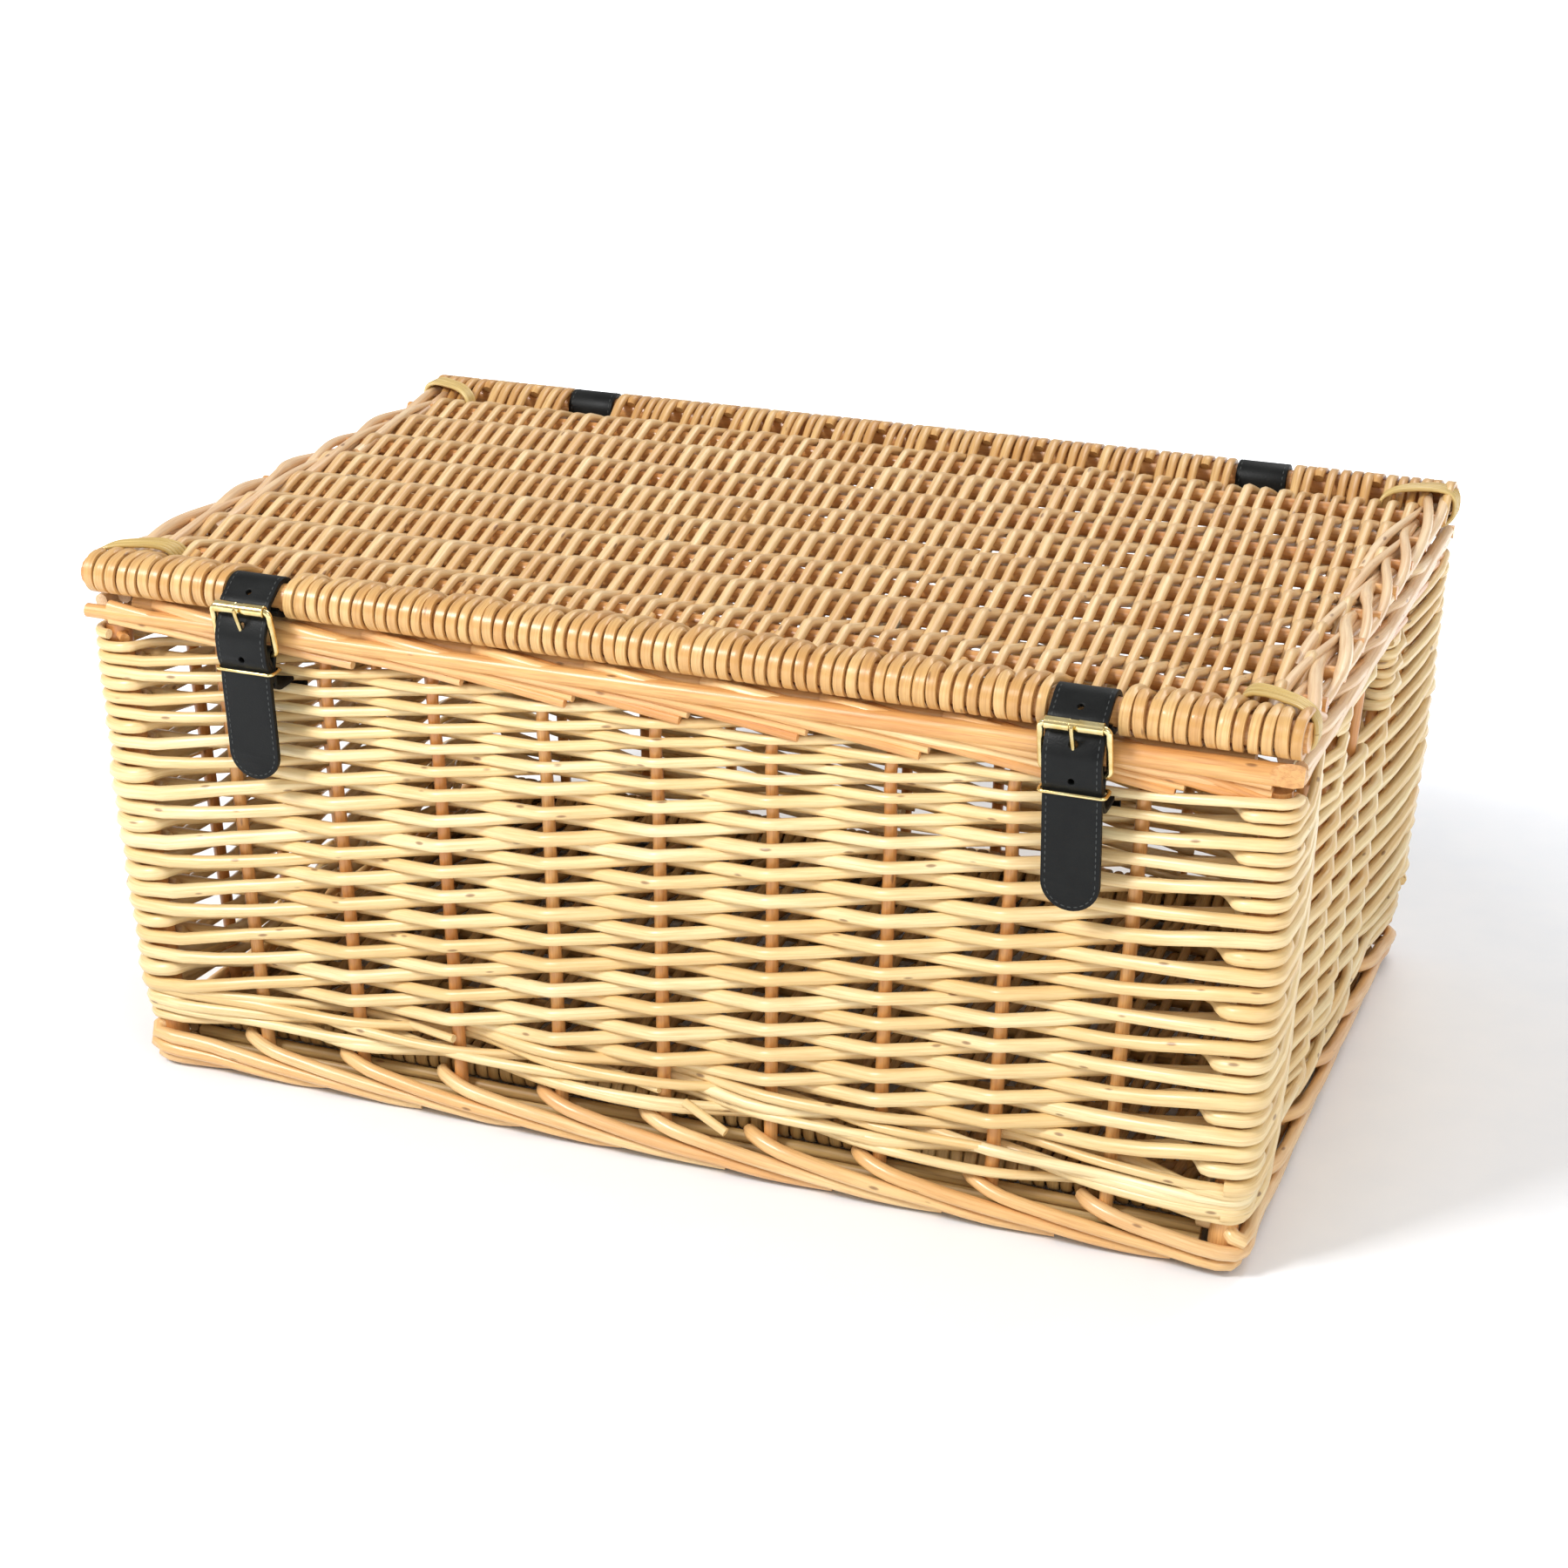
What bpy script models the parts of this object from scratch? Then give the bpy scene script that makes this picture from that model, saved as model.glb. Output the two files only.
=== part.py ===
"""Wicker storage trunk with a hinged lid, leather hinge loops, and two buckled leather straps."""

import math

import bmesh
import bpy
from mathutils import Matrix, Vector

# ---------------------------------------------------------------- driving dimensions (metres)
LID_WIDTH = 0.560            # over the ends of the lid's edge sticks
LID_AXIS_DEPTH = 0.340       # from the front edge stick's axis to the rear one's
LID_Z = 0.2475               # height of the lid's middle plane and of its sticks' axes
LID_OVER_ENDS = 0.0105       # from a corner post's axis, at border height, to the sticks' ends
LID_OVER_FRONT = 0.003       # from a corner post's axis, at border height, to the edge stick's axis
LID_ABOVE_BORDER = 0.0145    # from the border rods' axes to the lid's middle plane
TAPER_X = 0.012              # how far each end wall leans in from the border down to the foot
TAPER_Y = 0.0025             # the same for the front and the rear
FOOT_HEIGHT = 0.012
GAP = 0.0003                 # between pieces that touch
LEAN_GAP = 0.0008            # over and under the leaning posts and stakes, whose ends are square

# walls
FRONT_STAKES = 9
END_STAKES = 5
STAKE_RADIUS = 0.0031
POST_RADIUS = 0.0062
WALL_HALF = 0.0078           # from the stakes' plane to the middle of a woven row's swell
ROW_SWELL = 0.0008
WALL_ROWS = 16
WALE_ROWS = 2
BORDER_RADIUS = 0.00475
EDGE_ROD_RADIUS = 0.0042
EDGE_ROD_CLEARANCE = 0.0005  # from the stakes to the edge rod
WALE_ABOVE_FOOT = 0.0182
WALE_HEIGHT = 0.0142
WALL_BELOW_BORDER = 0.0127
HAND_HOLE_FROM_TOP = 0.0073
HAND_HOLE_HEIGHT = 0.029
HAND_HOLE_GAPS = 2           # stake gaps that the hand hole is wide
HAND_HOLE_EDGE = 0.0026      # rows turned back round the stakes at its two sides

# foot border
FOOT_WIDTH = 0.0145
FOOT_EDGE_ROUND = 0.003

# lid
LID_STICK_RADIUS = 0.00625
LID_WRAP_RADIUS = 0.0093
LID_WEAVE_FROM_END = 0.0155
LID_WEAVE_HALF = 0.0066
LID_ROWS = 40
LID_INNER_STICKS = 8
INNER_STICK_RADIUS = 0.0033
PLAIT_WIDTH = 0.0123
PLAIT_HEIGHT = 0.0140
PLAIT_ROUND = 0.0040
TIE_WIDTH = 0.009
TIE_THICKNESS = 0.0013
TIE_FROM_END = 0.0105        # from the plait's end to the middle of its tie

# base
BASE_ABOVE_FOOT = 0.0102
BASE_STICK_RADIUS = 0.0050
BASE_WRAP_RADIUS = 0.0074
BASE_WEAVE_HALF = 0.0058
BASE_ROWS = 24
BASE_INNER_STICKS = 4
BASE_CLEARANCE = 0.0035      # from the stakes to the base's edge

# hinge loops
HINGE_FROM_END = 0.096       # from the sticks' ends to the middle of a loop
HINGE_WIDTH = 0.0254
HINGE_THICKNESS = 0.0024
LOOP_CLEARANCE = 0.00035     # between a stick and the leather round it

# front straps
STRAP_FROM_END = 0.090       # from the sticks' ends to the middle of a strap
STRAP_WIDTH = 0.0250
STRAP_THICKNESS = 0.0025
STRAP_TAIL = 0.061           # how far a strap hangs below the heel bar
STRAP_HOLE_RADIUS = 0.0016
STRAP_HOLE_PITCH = 0.0154
STRAP_SEAM_START = math.radians(-150)  # where the loop round the lid's stick is sewn shut
STRAP_SEAM_END = math.radians(130)     # where the strap leaves the stick and falls
PRONG_HOLE_CLEARANCE = 0.00045
NOTCH_CLEARANCE = 0.0014     # each side of a strap, in the lid's edge

# bends of a front strap, each (towards the wall, up) from the fitting that it passes
STRAP_BENDS_BEHIND_ROLLER = ((0.0036, 0.0036), (0.0004, 0.0010), (-0.0008, -0.0030))
STRAP_BENDS_OVER_HEEL = ((0.0014, 0.0130), (-0.0004, 0.0080), (-0.0002, 0.0020), (0.0004, -0.0030))
STRAP_BENDS_AT_KEEPER = ((0, 0.0010), (0.0002, -0.0050), (0.0016, -0.0265))
STRAP_TIP_IN = 0.0030        # how far the tip hangs back towards the wall

# buckles
HEEL_BELOW_BORDER = 0.008
HEEL_FROM_POST_PLANE = 0.0162
BUCKLE_HEIGHT = 0.0218       # between the heel bar's axis and the roller bar's
BUCKLE_LEAN = math.radians(12.2)
FRAME_WIRE_RADIUS = 0.0015
FRAME_SIDE_CLEARANCE = 0.0018  # from a strap's edge to the axis of the frame's side wire
FRAME_CORNER = 0.0019
ROLLER_RADIUS = 0.00275
ROLLER_BORE = 0.00175
ROLLER_SHORT = 0.0002        # a roller's end, inside the strap's edge
PRONG_RADIUS = 0.0012
PRONG_EYE_RADIUS = 0.0029
PRONG_EYE_BORE = 0.0017
PRONG_HALF_WIDTH = 0.0013
PRONG_LENGTH = 0.0245
KEEPER_BELOW_HEEL = 0.008
KEEPER_WIRE_RADIUS = 0.0008
KEEPER_SIDE_CLEARANCE = 0.0014  # from a strap's edge to the axis of the keeper's wire
KEEPER_CORNER = 0.0013

# chapes: the short leather pieces that hold the buckles
CHAPE_NARROWER = 0.001       # than the strap
CHAPE_THICKNESS = 0.0020
CHAPE_SLOT_HALF = 0.0017
CHAPE_BEHIND_HEEL = 0.0017   # its back layer, behind the heel bar's axis

# heights of the chape's bends below the heel bar
CHAPE_CLOSED = 0.0055        # where its two layers come together
CHAPE_FRONT_END = 0.0135
CHAPE_IN_WALL = 0.0177       # where its back layer goes through the wall
CHAPE_INNER_END = 0.0300

# bends of the chape's back layer, each (inwards, up) from where it turns into the wall
CHAPE_BENDS_INTO_WALL = ((0, 0.0045), (0.0010, 0.0017), (0.0030, 0.0004), (0.0048, 0))
CHAPE_BENDS_INSIDE = ((-0.0012, 0), (-0.0003, -0.0008), (0, -0.0030))
CHAPE_FOLD_CLEARANCE = 0.0012  # between the wall and its fold inside

ROUND_SIDES = 16
HOLE_SIDES = 12
SMALL_SIDES = 8
WRAP_SIDES = 20
ARC_STEP = math.radians(20)
CORNER_STEPS = 3
CURVE_STEPS = 3
SHARP_ANGLE = math.radians(35)
EDGE_ROUND_ANGLE = math.radians(60)
MERGE_DISTANCE = 0.00001

COLOURS = {
    "woven_willow": ((0.78, 0.60, 0.34, 1.0), 0.45, 0.0),
    "willow_rod": ((0.74, 0.50, 0.26, 1.0), 0.42, 0.0),
    "split_skein": ((0.66, 0.55, 0.25, 1.0), 0.5, 0.0),
    "black_leather": ((0.02, 0.022, 0.024, 1.0), 0.5, 0.0),
    "brass": ((0.86, 0.77, 0.50, 1.0), 0.2, 1.0),
}

# ---------------------------------------------------------------- worked-out positions
FRONT = -1
REAR = 1
STICK_Y = LID_AXIS_DEPTH / 2
BORDER_Z = LID_Z - LID_ABOVE_BORDER
POST_SPAN_X_TOP = LID_WIDTH - 2 * LID_OVER_ENDS
POST_SPAN_X_FOOT = POST_SPAN_X_TOP - 2 * TAPER_X
POST_SPAN_Y_TOP = LID_AXIS_DEPTH - 2 * LID_OVER_FRONT
POST_SPAN_Y_FOOT = POST_SPAN_Y_TOP - 2 * TAPER_Y
WALE_BOTTOM = FOOT_HEIGHT + WALE_ABOVE_FOOT
WALL_BOTTOM = WALE_BOTTOM + WALE_HEIGHT
WALL_TOP = BORDER_Z - WALL_BELOW_BORDER
HAND_HOLE_HIGH = WALL_TOP - HAND_HOLE_FROM_TOP
HAND_HOLE_LOW = HAND_HOLE_HIGH - HAND_HOLE_HEIGHT
BASE_Z = FOOT_HEIGHT + BASE_ABOVE_FOOT
LID_WEAVE_WIDTH = LID_WIDTH - 2 * LID_WEAVE_FROM_END
HINGE_X = LID_WIDTH / 2 - HINGE_FROM_END
STRAP_X = LID_WIDTH / 2 - STRAP_FROM_END
HEEL_Z = BORDER_Z - HEEL_BELOW_BORDER
KEEPER_Z = HEEL_Z - KEEPER_BELOW_HEEL
STRAP_TIP_Z = HEEL_Z - STRAP_TAIL
FRAME_HALF_WIDTH = STRAP_WIDTH / 2 + FRAME_SIDE_CLEARANCE
ROLLER_HALF_LENGTH = STRAP_WIDTH / 2 - ROLLER_SHORT
KEEPER_HALF_WIDTH = STRAP_WIDTH / 2 + KEEPER_SIDE_CLEARANCE
CHAPE_WIDTH = STRAP_WIDTH - CHAPE_NARROWER
STRAP_LOOP_RADIUS = LID_STICK_RADIUS + LOOP_CLEARANCE + STRAP_THICKNESS / 2
HEEL_Y = -POST_SPAN_Y_TOP / 2 - HEEL_FROM_POST_PLANE
ROLLER_Y = HEEL_Y - BUCKLE_HEIGHT * math.sin(BUCKLE_LEAN)
ROLLER_Z = HEEL_Z + BUCKLE_HEIGHT * math.cos(BUCKLE_LEAN)
PRONG_OFFSET = ROLLER_RADIUS + GAP + PRONG_RADIUS
PRONG_LEAN = BUCKLE_LEAN + math.asin(PRONG_OFFSET / BUCKLE_HEIGHT)
CHAPE_RADIUS = FRAME_WIRE_RADIUS + GAP + CHAPE_THICKNESS / 2
CHAPE_BACK_Y = HEEL_Y + CHAPE_BEHIND_HEEL
CHAPE_FRONT_Y = CHAPE_BACK_Y - CHAPE_THICKNESS - GAP
KEEPER_BACK_Y = CHAPE_BACK_Y + CHAPE_THICKNESS / 2 + GAP + KEEPER_WIRE_RADIUS
STRAP_AT_KEEPER_Y = CHAPE_FRONT_Y - CHAPE_THICKNESS / 2 - GAP - STRAP_THICKNESS / 2
KEEPER_FRONT_Y = STRAP_AT_KEEPER_Y - STRAP_THICKNESS / 2 - GAP - KEEPER_WIRE_RADIUS
EDGE_ROD_OUT = STAKE_RADIUS + EDGE_ROD_CLEARANCE + EDGE_ROD_RADIUS
EDGE_ROD_DROP = math.sqrt((EDGE_ROD_RADIUS + BORDER_RADIUS + GAP) ** 2 - EDGE_ROD_OUT**2)


def share_up(z):
    """How far up the walls a height is: 0 at the foot border, 1 at the border rods."""
    return (z - FOOT_HEIGHT) / (BORDER_Z - FOOT_HEIGHT)


def post_half_x(z):
    return (POST_SPAN_X_FOOT + (POST_SPAN_X_TOP - POST_SPAN_X_FOOT) * share_up(z)) / 2


def post_half_y(z):
    return (POST_SPAN_Y_FOOT + (POST_SPAN_Y_TOP - POST_SPAN_Y_FOOT) * share_up(z)) / 2


def wall_point(across, side, along, z):
    """A point in a wall's stake plane: along runs from -1 to 1 between its corner posts."""
    if across == "x":
        return Vector((along * post_half_x(z), side * post_half_y(z), z))
    return Vector((side * post_half_x(z), along * post_half_y(z), z))


def stake_shares(count):
    """Where the stakes stand between two posts, as shares of the half span."""
    return [2 * (n + 1) / (count + 1) - 1 for n in range(count)]


# ---------------------------------------------------------------- scene, materials, helpers
for old in list(bpy.data.objects):
    bpy.data.objects.remove(old, do_unlink=True)

PARTS = bpy.data.collections.new("wicker_trunk")
CUTTERS = bpy.data.collections.new("cutters")
bpy.context.scene.collection.children.link(PARTS)
bpy.context.scene.collection.children.link(CUTTERS)


def make_material(node, finish):
    colour, roughness, metallic = COLOURS[finish]
    material = bpy.data.materials.new(f"{node}_{finish}")
    material.use_nodes = True
    shader = material.node_tree.nodes["Principled BSDF"]
    shader.inputs["Base Color"].default_value = colour
    shader.inputs["Roughness"].default_value = roughness
    shader.inputs["Metallic"].default_value = metallic
    return material


def axis_empty(name, position, parent=None):
    """An empty that stands on a joint's axis, for the pieces that turn or slide there."""
    empty = bpy.data.objects.new(name, None)
    empty.empty_display_size = 0.02
    empty.location = position
    PARTS.objects.link(empty)
    if parent:
        attach(empty, parent, position)
    return empty


def attach(piece, parent, position):
    """Parent a piece and keep its place: its location counts from its parent's."""
    piece.parent = parent
    piece.location = Vector(position) - absolute_place(parent)


def absolute_place(piece):
    place = piece.location.copy()
    while piece.parent:
        piece = piece.parent
        place += piece.location
    return place


def piece_from(bm, name, finish, parent, origin=None):
    """A part's object from a bmesh in trunk coordinates, with its origin where asked."""
    origin = Vector(origin) if origin else absolute_place(parent)
    bmesh.ops.translate(bm, vec=-origin, verts=bm.verts)
    bmesh.ops.recalc_face_normals(bm, faces=bm.faces)
    mesh = bpy.data.meshes.new(name)
    bm.to_mesh(mesh)
    bm.free()
    mesh.materials.append(make_material(name, finish))
    mesh.shade_smooth()
    mesh.set_sharp_from_angle(angle=SHARP_ANGLE)
    piece = bpy.data.objects.new(name, mesh)
    PARTS.objects.link(piece)
    attach(piece, parent, origin)
    return piece


def helper_from(bm, name):
    """A cutter or a joined-on shape, parented to the trunk and kept out of the parts."""
    bmesh.ops.recalc_face_normals(bm, faces=bm.faces)
    mesh = bpy.data.meshes.new(name)
    bm.to_mesh(mesh)
    bm.free()
    helper = bpy.data.objects.new(name, mesh)
    helper.hide_render = True
    helper.display_type = "WIRE"
    CUTTERS.objects.link(helper)
    attach(helper, TRUNK, (0, 0, 0))
    return helper


def combine(piece, helper, operation):
    change = piece.modifiers.new(helper.name, "BOOLEAN")
    change.operation = operation
    change.object = helper
    return piece


def add_rod(bm, start, end, radius, sides=ROUND_SIDES):
    """A capped cylinder between two points."""
    start, end = Vector(start), Vector(end)
    turn = (end - start).to_track_quat("Z", "Y").to_matrix().to_4x4()
    bmesh.ops.create_cone(
        bm,
        cap_ends=True,
        segments=sides,
        radius1=radius,
        radius2=radius,
        depth=(end - start).length,
        matrix=Matrix.Translation((start + end) / 2) @ turn,
    )


def add_box(bm, low, high):
    low, high = Vector(low), Vector(high)
    size = Matrix.Diagonal((high - low).to_4d())
    bmesh.ops.create_cube(bm, size=1, matrix=Matrix.Translation((low + high) / 2) @ size)


def add_flat_solid(bm, outlines, half_depth, facing, middle):
    """A flat outline, with any holes as further outlines, given a thickness along one axis.

    Outlines are (y, z) when facing X, (x, z) when facing Y and (x, y) when facing Z.
    """
    curve = bpy.data.curves.new("outline", "CURVE")
    curve.dimensions = "2D"
    curve.fill_mode = "BOTH"
    curve.extrude = half_depth
    for outline in outlines:
        spline = curve.splines.new("POLY")
        spline.points.add(len(outline) - 1)
        for point, (u, v) in zip(spline.points, outline):
            point.co = (u, v, 0, 1)
        spline.use_cyclic_u = True
    add_curve(bm, curve, {"X": FACING_X, "Y": FACING_Y, "Z": Matrix()}[facing], middle)


def add_wire_loop(bm, points, radius):
    """A closed round wire through points."""
    curve = bpy.data.curves.new("wire", "CURVE")
    curve.dimensions = "3D"
    curve.bevel_depth = radius
    curve.bevel_resolution = 2
    spline = curve.splines.new("POLY")
    spline.points.add(len(points) - 1)
    for point, place in zip(spline.points, points):
        point.co = (*place, 1)
    spline.use_cyclic_u = True
    add_curve(bm, curve, Matrix(), (0, 0, 0))


def add_curve(bm, curve, turn, middle):
    """Turn a curve into mesh and add it to a bmesh."""
    guide = bpy.data.objects.new("guide", curve)
    CUTTERS.objects.link(guide)
    bpy.context.view_layer.update()
    depsgraph = bpy.context.evaluated_depsgraph_get()
    mesh = bpy.data.meshes.new_from_object(guide.evaluated_get(depsgraph))
    mesh.transform(Matrix.Translation(middle) @ turn)
    bm.from_mesh(mesh)
    bmesh.ops.remove_doubles(bm, verts=bm.verts, dist=MERGE_DISTANCE)
    bpy.data.objects.remove(guide, do_unlink=True)
    bpy.data.curves.remove(curve)
    bpy.data.meshes.remove(mesh)


FACING_X = Matrix(((0, 0, 1, 0), (1, 0, 0, 0), (0, 1, 0, 0), (0, 0, 0, 1)))
FACING_Y = Matrix(((1, 0, 0, 0), (0, 0, -1, 0), (0, 1, 0, 0), (0, 0, 0, 1)))


def arc(centre, radius, start, end):
    """Points of an arc from one angle to another, ends included."""
    steps = max(2, math.ceil(abs(end - start) / ARC_STEP))
    angles = [start + (end - start) * n / steps for n in range(steps + 1)]
    return [(centre[0] + radius * math.cos(a), centre[1] + radius * math.sin(a)) for a in angles]


def circle(centre, radius):
    return arc(centre, radius, 0, math.tau)[:-1]


def rounded_rectangle(half_u, half_v, radius):
    """Corner arcs of a rectangle, anticlockwise from its right side."""
    points = []
    for corner, (su, sv) in enumerate(((1, 1), (-1, 1), (-1, -1), (1, -1))):
        for n in range(CORNER_STEPS + 1):
            angle = math.pi / 2 * (corner + n / CORNER_STEPS)
            u = su * (half_u - radius) + radius * math.cos(angle)
            v = sv * (half_v - radius) + radius * math.sin(angle)
            points.append((u, v))
    return points


def band_outline(path, thickness):
    """Both faces of a flat band that follows a path, as one closed outline."""
    left, right = [], []
    for n, point in enumerate(path):
        before = Vector(path[max(n - 1, 0)])
        after = Vector(path[min(n + 1, len(path) - 1)])
        along = (after - before).normalized()
        normal = Vector((-along.y, along.x)) * thickness / 2
        left.append(tuple(Vector(point) + normal))
        right.append(tuple(Vector(point) - normal))
    return left + right[::-1]


def smooth_path(points):
    """A smooth curve through every point."""
    ends = [Vector(p) for p in (points[0], *points, points[-1])]
    path = []
    for n in range(1, len(ends) - 2):
        a, b, c, d = ends[n - 1 : n + 3]
        for k in range(CURVE_STEPS):
            t = k / CURVE_STEPS
            bend = (2 * a - 5 * b + 4 * c - d) * t**2 + (3 * b - a - 3 * c + d) * t**3
            path.append(tuple(b + ((c - a) * t + bend) / 2))
    return [*path, points[-1]]


def hull(points):
    """The convex outline round a set of points, anticlockwise."""
    points = sorted(set(points))

    def half(ordered):
        line = []
        for p in ordered:
            while len(line) > 1 and (Vector(line[-1]) - Vector(line[-2])).to_3d().cross(
                (Vector(p) - Vector(line[-1])).to_3d()
            ).z <= 0:
                line.pop()
            line.append(p)
        return line[:-1]

    return half(points) + half(points[::-1])


TRUNK = axis_empty("trunk", (0, 0, 0))
LID_AXIS = axis_empty("lid_axis", (0, STICK_Y, LID_Z), TRUNK)

# ---------------------------------------------------------------- walls
CORNERS = {
    "front_left": (-1, FRONT),
    "front_right": (1, FRONT),
    "rear_left": (-1, REAR),
    "rear_right": (1, REAR),
}
WALLS = {
    "front": ("x", FRONT, FRONT_STAKES),
    "rear": ("x", REAR, FRONT_STAKES),
    "left": ("y", -1, END_STAKES),
    "right": ("y", 1, END_STAKES),
}
UPRIGHT_FOOT = FOOT_HEIGHT + LEAN_GAP
POST_TOP = BORDER_Z - EDGE_ROD_DROP - EDGE_ROD_RADIUS - LEAN_GAP


def post_axis(corner, z):
    side_x, side_y = CORNERS[corner]
    return Vector((side_x * post_half_x(z), side_y * post_half_y(z), z))


def build_posts():
    for corner in CORNERS:
        bm = bmesh.new()
        add_rod(bm, post_axis(corner, UPRIGHT_FOOT), post_axis(corner, POST_TOP), POST_RADIUS)
        piece_from(bm, f"corner_post_{corner}", "willow_rod", TRUNK)


def post_channels():
    bm = bmesh.new()
    for corner in CORNERS:
        add_rod(bm, post_axis(corner, 0), post_axis(corner, BORDER_Z), POST_RADIUS + GAP)
    return helper_from(bm, "post_channels")


def stake_channels(wall):
    across, side, count = WALLS[wall]
    bm = bmesh.new()
    for along in stake_shares(count):
        low = wall_point(across, side, along, 0)
        high = wall_point(across, side, along, BORDER_Z)
        add_rod(bm, low, high, STAKE_RADIUS + GAP, SMALL_SIDES)
    return helper_from(bm, f"{wall}_stake_channels")


def build_stakes_with_border(wall):
    """A wall's stakes are turned down into its border, so the two are one piece."""
    across, side, count = WALLS[wall]
    bm = bmesh.new()
    if across == "x":
        end = 1 + POST_RADIUS / post_half_x(BORDER_Z)
    else:
        end = 1 - (BORDER_RADIUS + GAP) / post_half_y(BORDER_Z)
    low = wall_point(across, side, -end, BORDER_Z)
    high = wall_point(across, side, end, BORDER_Z)
    add_rod(bm, low, high, BORDER_RADIUS)
    piece = piece_from(bm, f"{wall}_stakes_and_border", "willow_rod", TRUNK)
    bm = bmesh.new()
    for along in stake_shares(count):
        foot = wall_point(across, side, along, UPRIGHT_FOOT)
        top = wall_point(across, side, along, BORDER_Z)
        add_rod(bm, foot, top, STAKE_RADIUS, SMALL_SIDES)
    return combine(piece, helper_from(bm, f"{wall}_stakes"), "UNION")


def build_edge_rod(wall):
    """A thick rod laid outside the border along the top of a wall."""
    across, side, _ = WALLS[wall]
    z = BORDER_Z - EDGE_ROD_DROP
    bm = bmesh.new()
    if across == "x":
        y = side * (post_half_y(BORDER_Z) + EDGE_ROD_OUT)
        reach = post_half_x(BORDER_Z) + POST_RADIUS
        add_rod(bm, (-reach, y, z), (reach, y, z), EDGE_ROD_RADIUS)
    else:
        x = side * (post_half_x(BORDER_Z) + EDGE_ROD_OUT)
        reach = post_half_y(BORDER_Z) - BORDER_RADIUS - GAP
        add_rod(bm, (x, -reach, z), (x, reach, z), EDGE_ROD_RADIUS)
    piece_from(bm, f"{wall}_edge_rod", "willow_rod", TRUNK)


def add_woven_ring(bm, bottom, top, rows):
    """The woven rows of all four walls: a tapered rectangular tube whose faces swell at each row."""
    levels = [bottom + (top - bottom) * n / (2 * rows) for n in range(2 * rows + 1)]
    loops = []
    for n, z in enumerate(levels):
        swell = WALL_HALF + ROW_SWELL * (1 if n % 2 else -1)
        loops.append((post_half_x(z) + swell, post_half_y(z) + swell, swell, z))
    for n, z in reversed(list(enumerate(levels))):
        swell = WALL_HALF + ROW_SWELL * (1 if n % 2 else -1)
        loops.append((post_half_x(z) - swell, post_half_y(z) - swell, POST_RADIUS / 2, z))
    rings = []
    for half_x, half_y, radius, z in loops:
        verts = [bm.verts.new((x, y, z)) for x, y in rounded_rectangle(half_x, half_y, radius)]
        rings.append([bm.edges.new(pair) for pair in zip(verts, verts[1:] + verts[:1])])
    for ring, after in zip(rings, rings[1:] + rings[:1]):
        bmesh.ops.bridge_loops(bm, edges=ring + after)


def mitre_planes(wall):
    """The two slanting planes through the corner posts that part a wall from its neighbours."""
    across, side, _ = WALLS[wall]
    planes = []
    for end in (-1, 1):
        foot = wall_point(across, side, end, 0)
        lean = wall_point(across, side, end, BORDER_Z) - foot
        diagonal = Vector((math.copysign(1, foot.x), math.copysign(1, foot.y), 0))
        normal = lean.cross(diagonal).normalized()
        outward = Vector((end, 0, 0)) if across == "x" else Vector((0, end, 0))
        if normal.dot(outward) < 0:
            normal.negate()
        planes.append((foot - normal * GAP / 2, normal))
    return planes


def build_wall(wall, channels):
    bm = bmesh.new()
    add_woven_ring(bm, WALL_BOTTOM, WALL_TOP, WALL_ROWS)
    for point, normal in mitre_planes(wall):
        cut = bmesh.ops.bisect_plane(
            bm,
            geom=[*bm.verts, *bm.edges, *bm.faces],
            plane_co=point,
            plane_no=normal,
            clear_outer=True,
        )
        edges = [part for part in cut["geom_cut"] if isinstance(part, bmesh.types.BMEdge)]
        bmesh.ops.edgenet_fill(bm, edges=edges)
    piece = piece_from(bm, f"{wall}_wall_weave", "woven_willow", TRUNK)
    combine(piece, channels, "DIFFERENCE")
    return combine(piece, stake_channels(wall), "DIFFERENCE")


def hand_hole(wall):
    """A gap in the rows of an end wall, crossed by its bare middle stake."""
    _, side, count = WALLS[wall]
    half = HAND_HOLE_GAPS * post_half_y(HAND_HOLE_LOW) / (count + 1) - STAKE_RADIUS - HAND_HOLE_EDGE
    depth = 3 * WALL_HALF
    x = side * post_half_x(HAND_HOLE_LOW)
    bm = bmesh.new()
    add_box(bm, (x - depth, -half, HAND_HOLE_LOW), (x + depth, half, HAND_HOLE_HIGH))
    return helper_from(bm, f"{wall}_hand_hole")


def build_bottom_wale(channels):
    bm = bmesh.new()
    add_woven_ring(bm, WALE_BOTTOM, WALL_BOTTOM - GAP, WALE_ROWS)
    piece = piece_from(bm, "bottom_wale", "woven_willow", TRUNK)
    combine(piece, channels, "DIFFERENCE")
    for wall in WALLS:
        combine(piece, bpy.data.objects[f"{wall}_stake_channels"], "DIFFERENCE")


def build_foot_border():
    """The rolled border under the walls: flat where it rests, rounded on its edges."""
    half_x, half_y = post_half_x(0), post_half_y(0)
    half = FOOT_WIDTH / 2
    outer = rounded_rectangle(half_x + half, half_y + half, half)
    inner = rounded_rectangle(half_x - half, half_y - half, half / 2)
    bm = bmesh.new()
    add_flat_solid(bm, [outer, inner], FOOT_HEIGHT / 2, "Z", (0, 0, FOOT_HEIGHT / 2))
    foot = piece_from(bm, "foot_border", "woven_willow", TRUNK)
    rounding = foot.modifiers.new("rounded_edges", "BEVEL")
    rounding.width = FOOT_EDGE_ROUND
    rounding.segments = 2
    rounding.limit_method = "ANGLE"
    rounding.angle_limit = EDGE_ROUND_ANGLE


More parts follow.
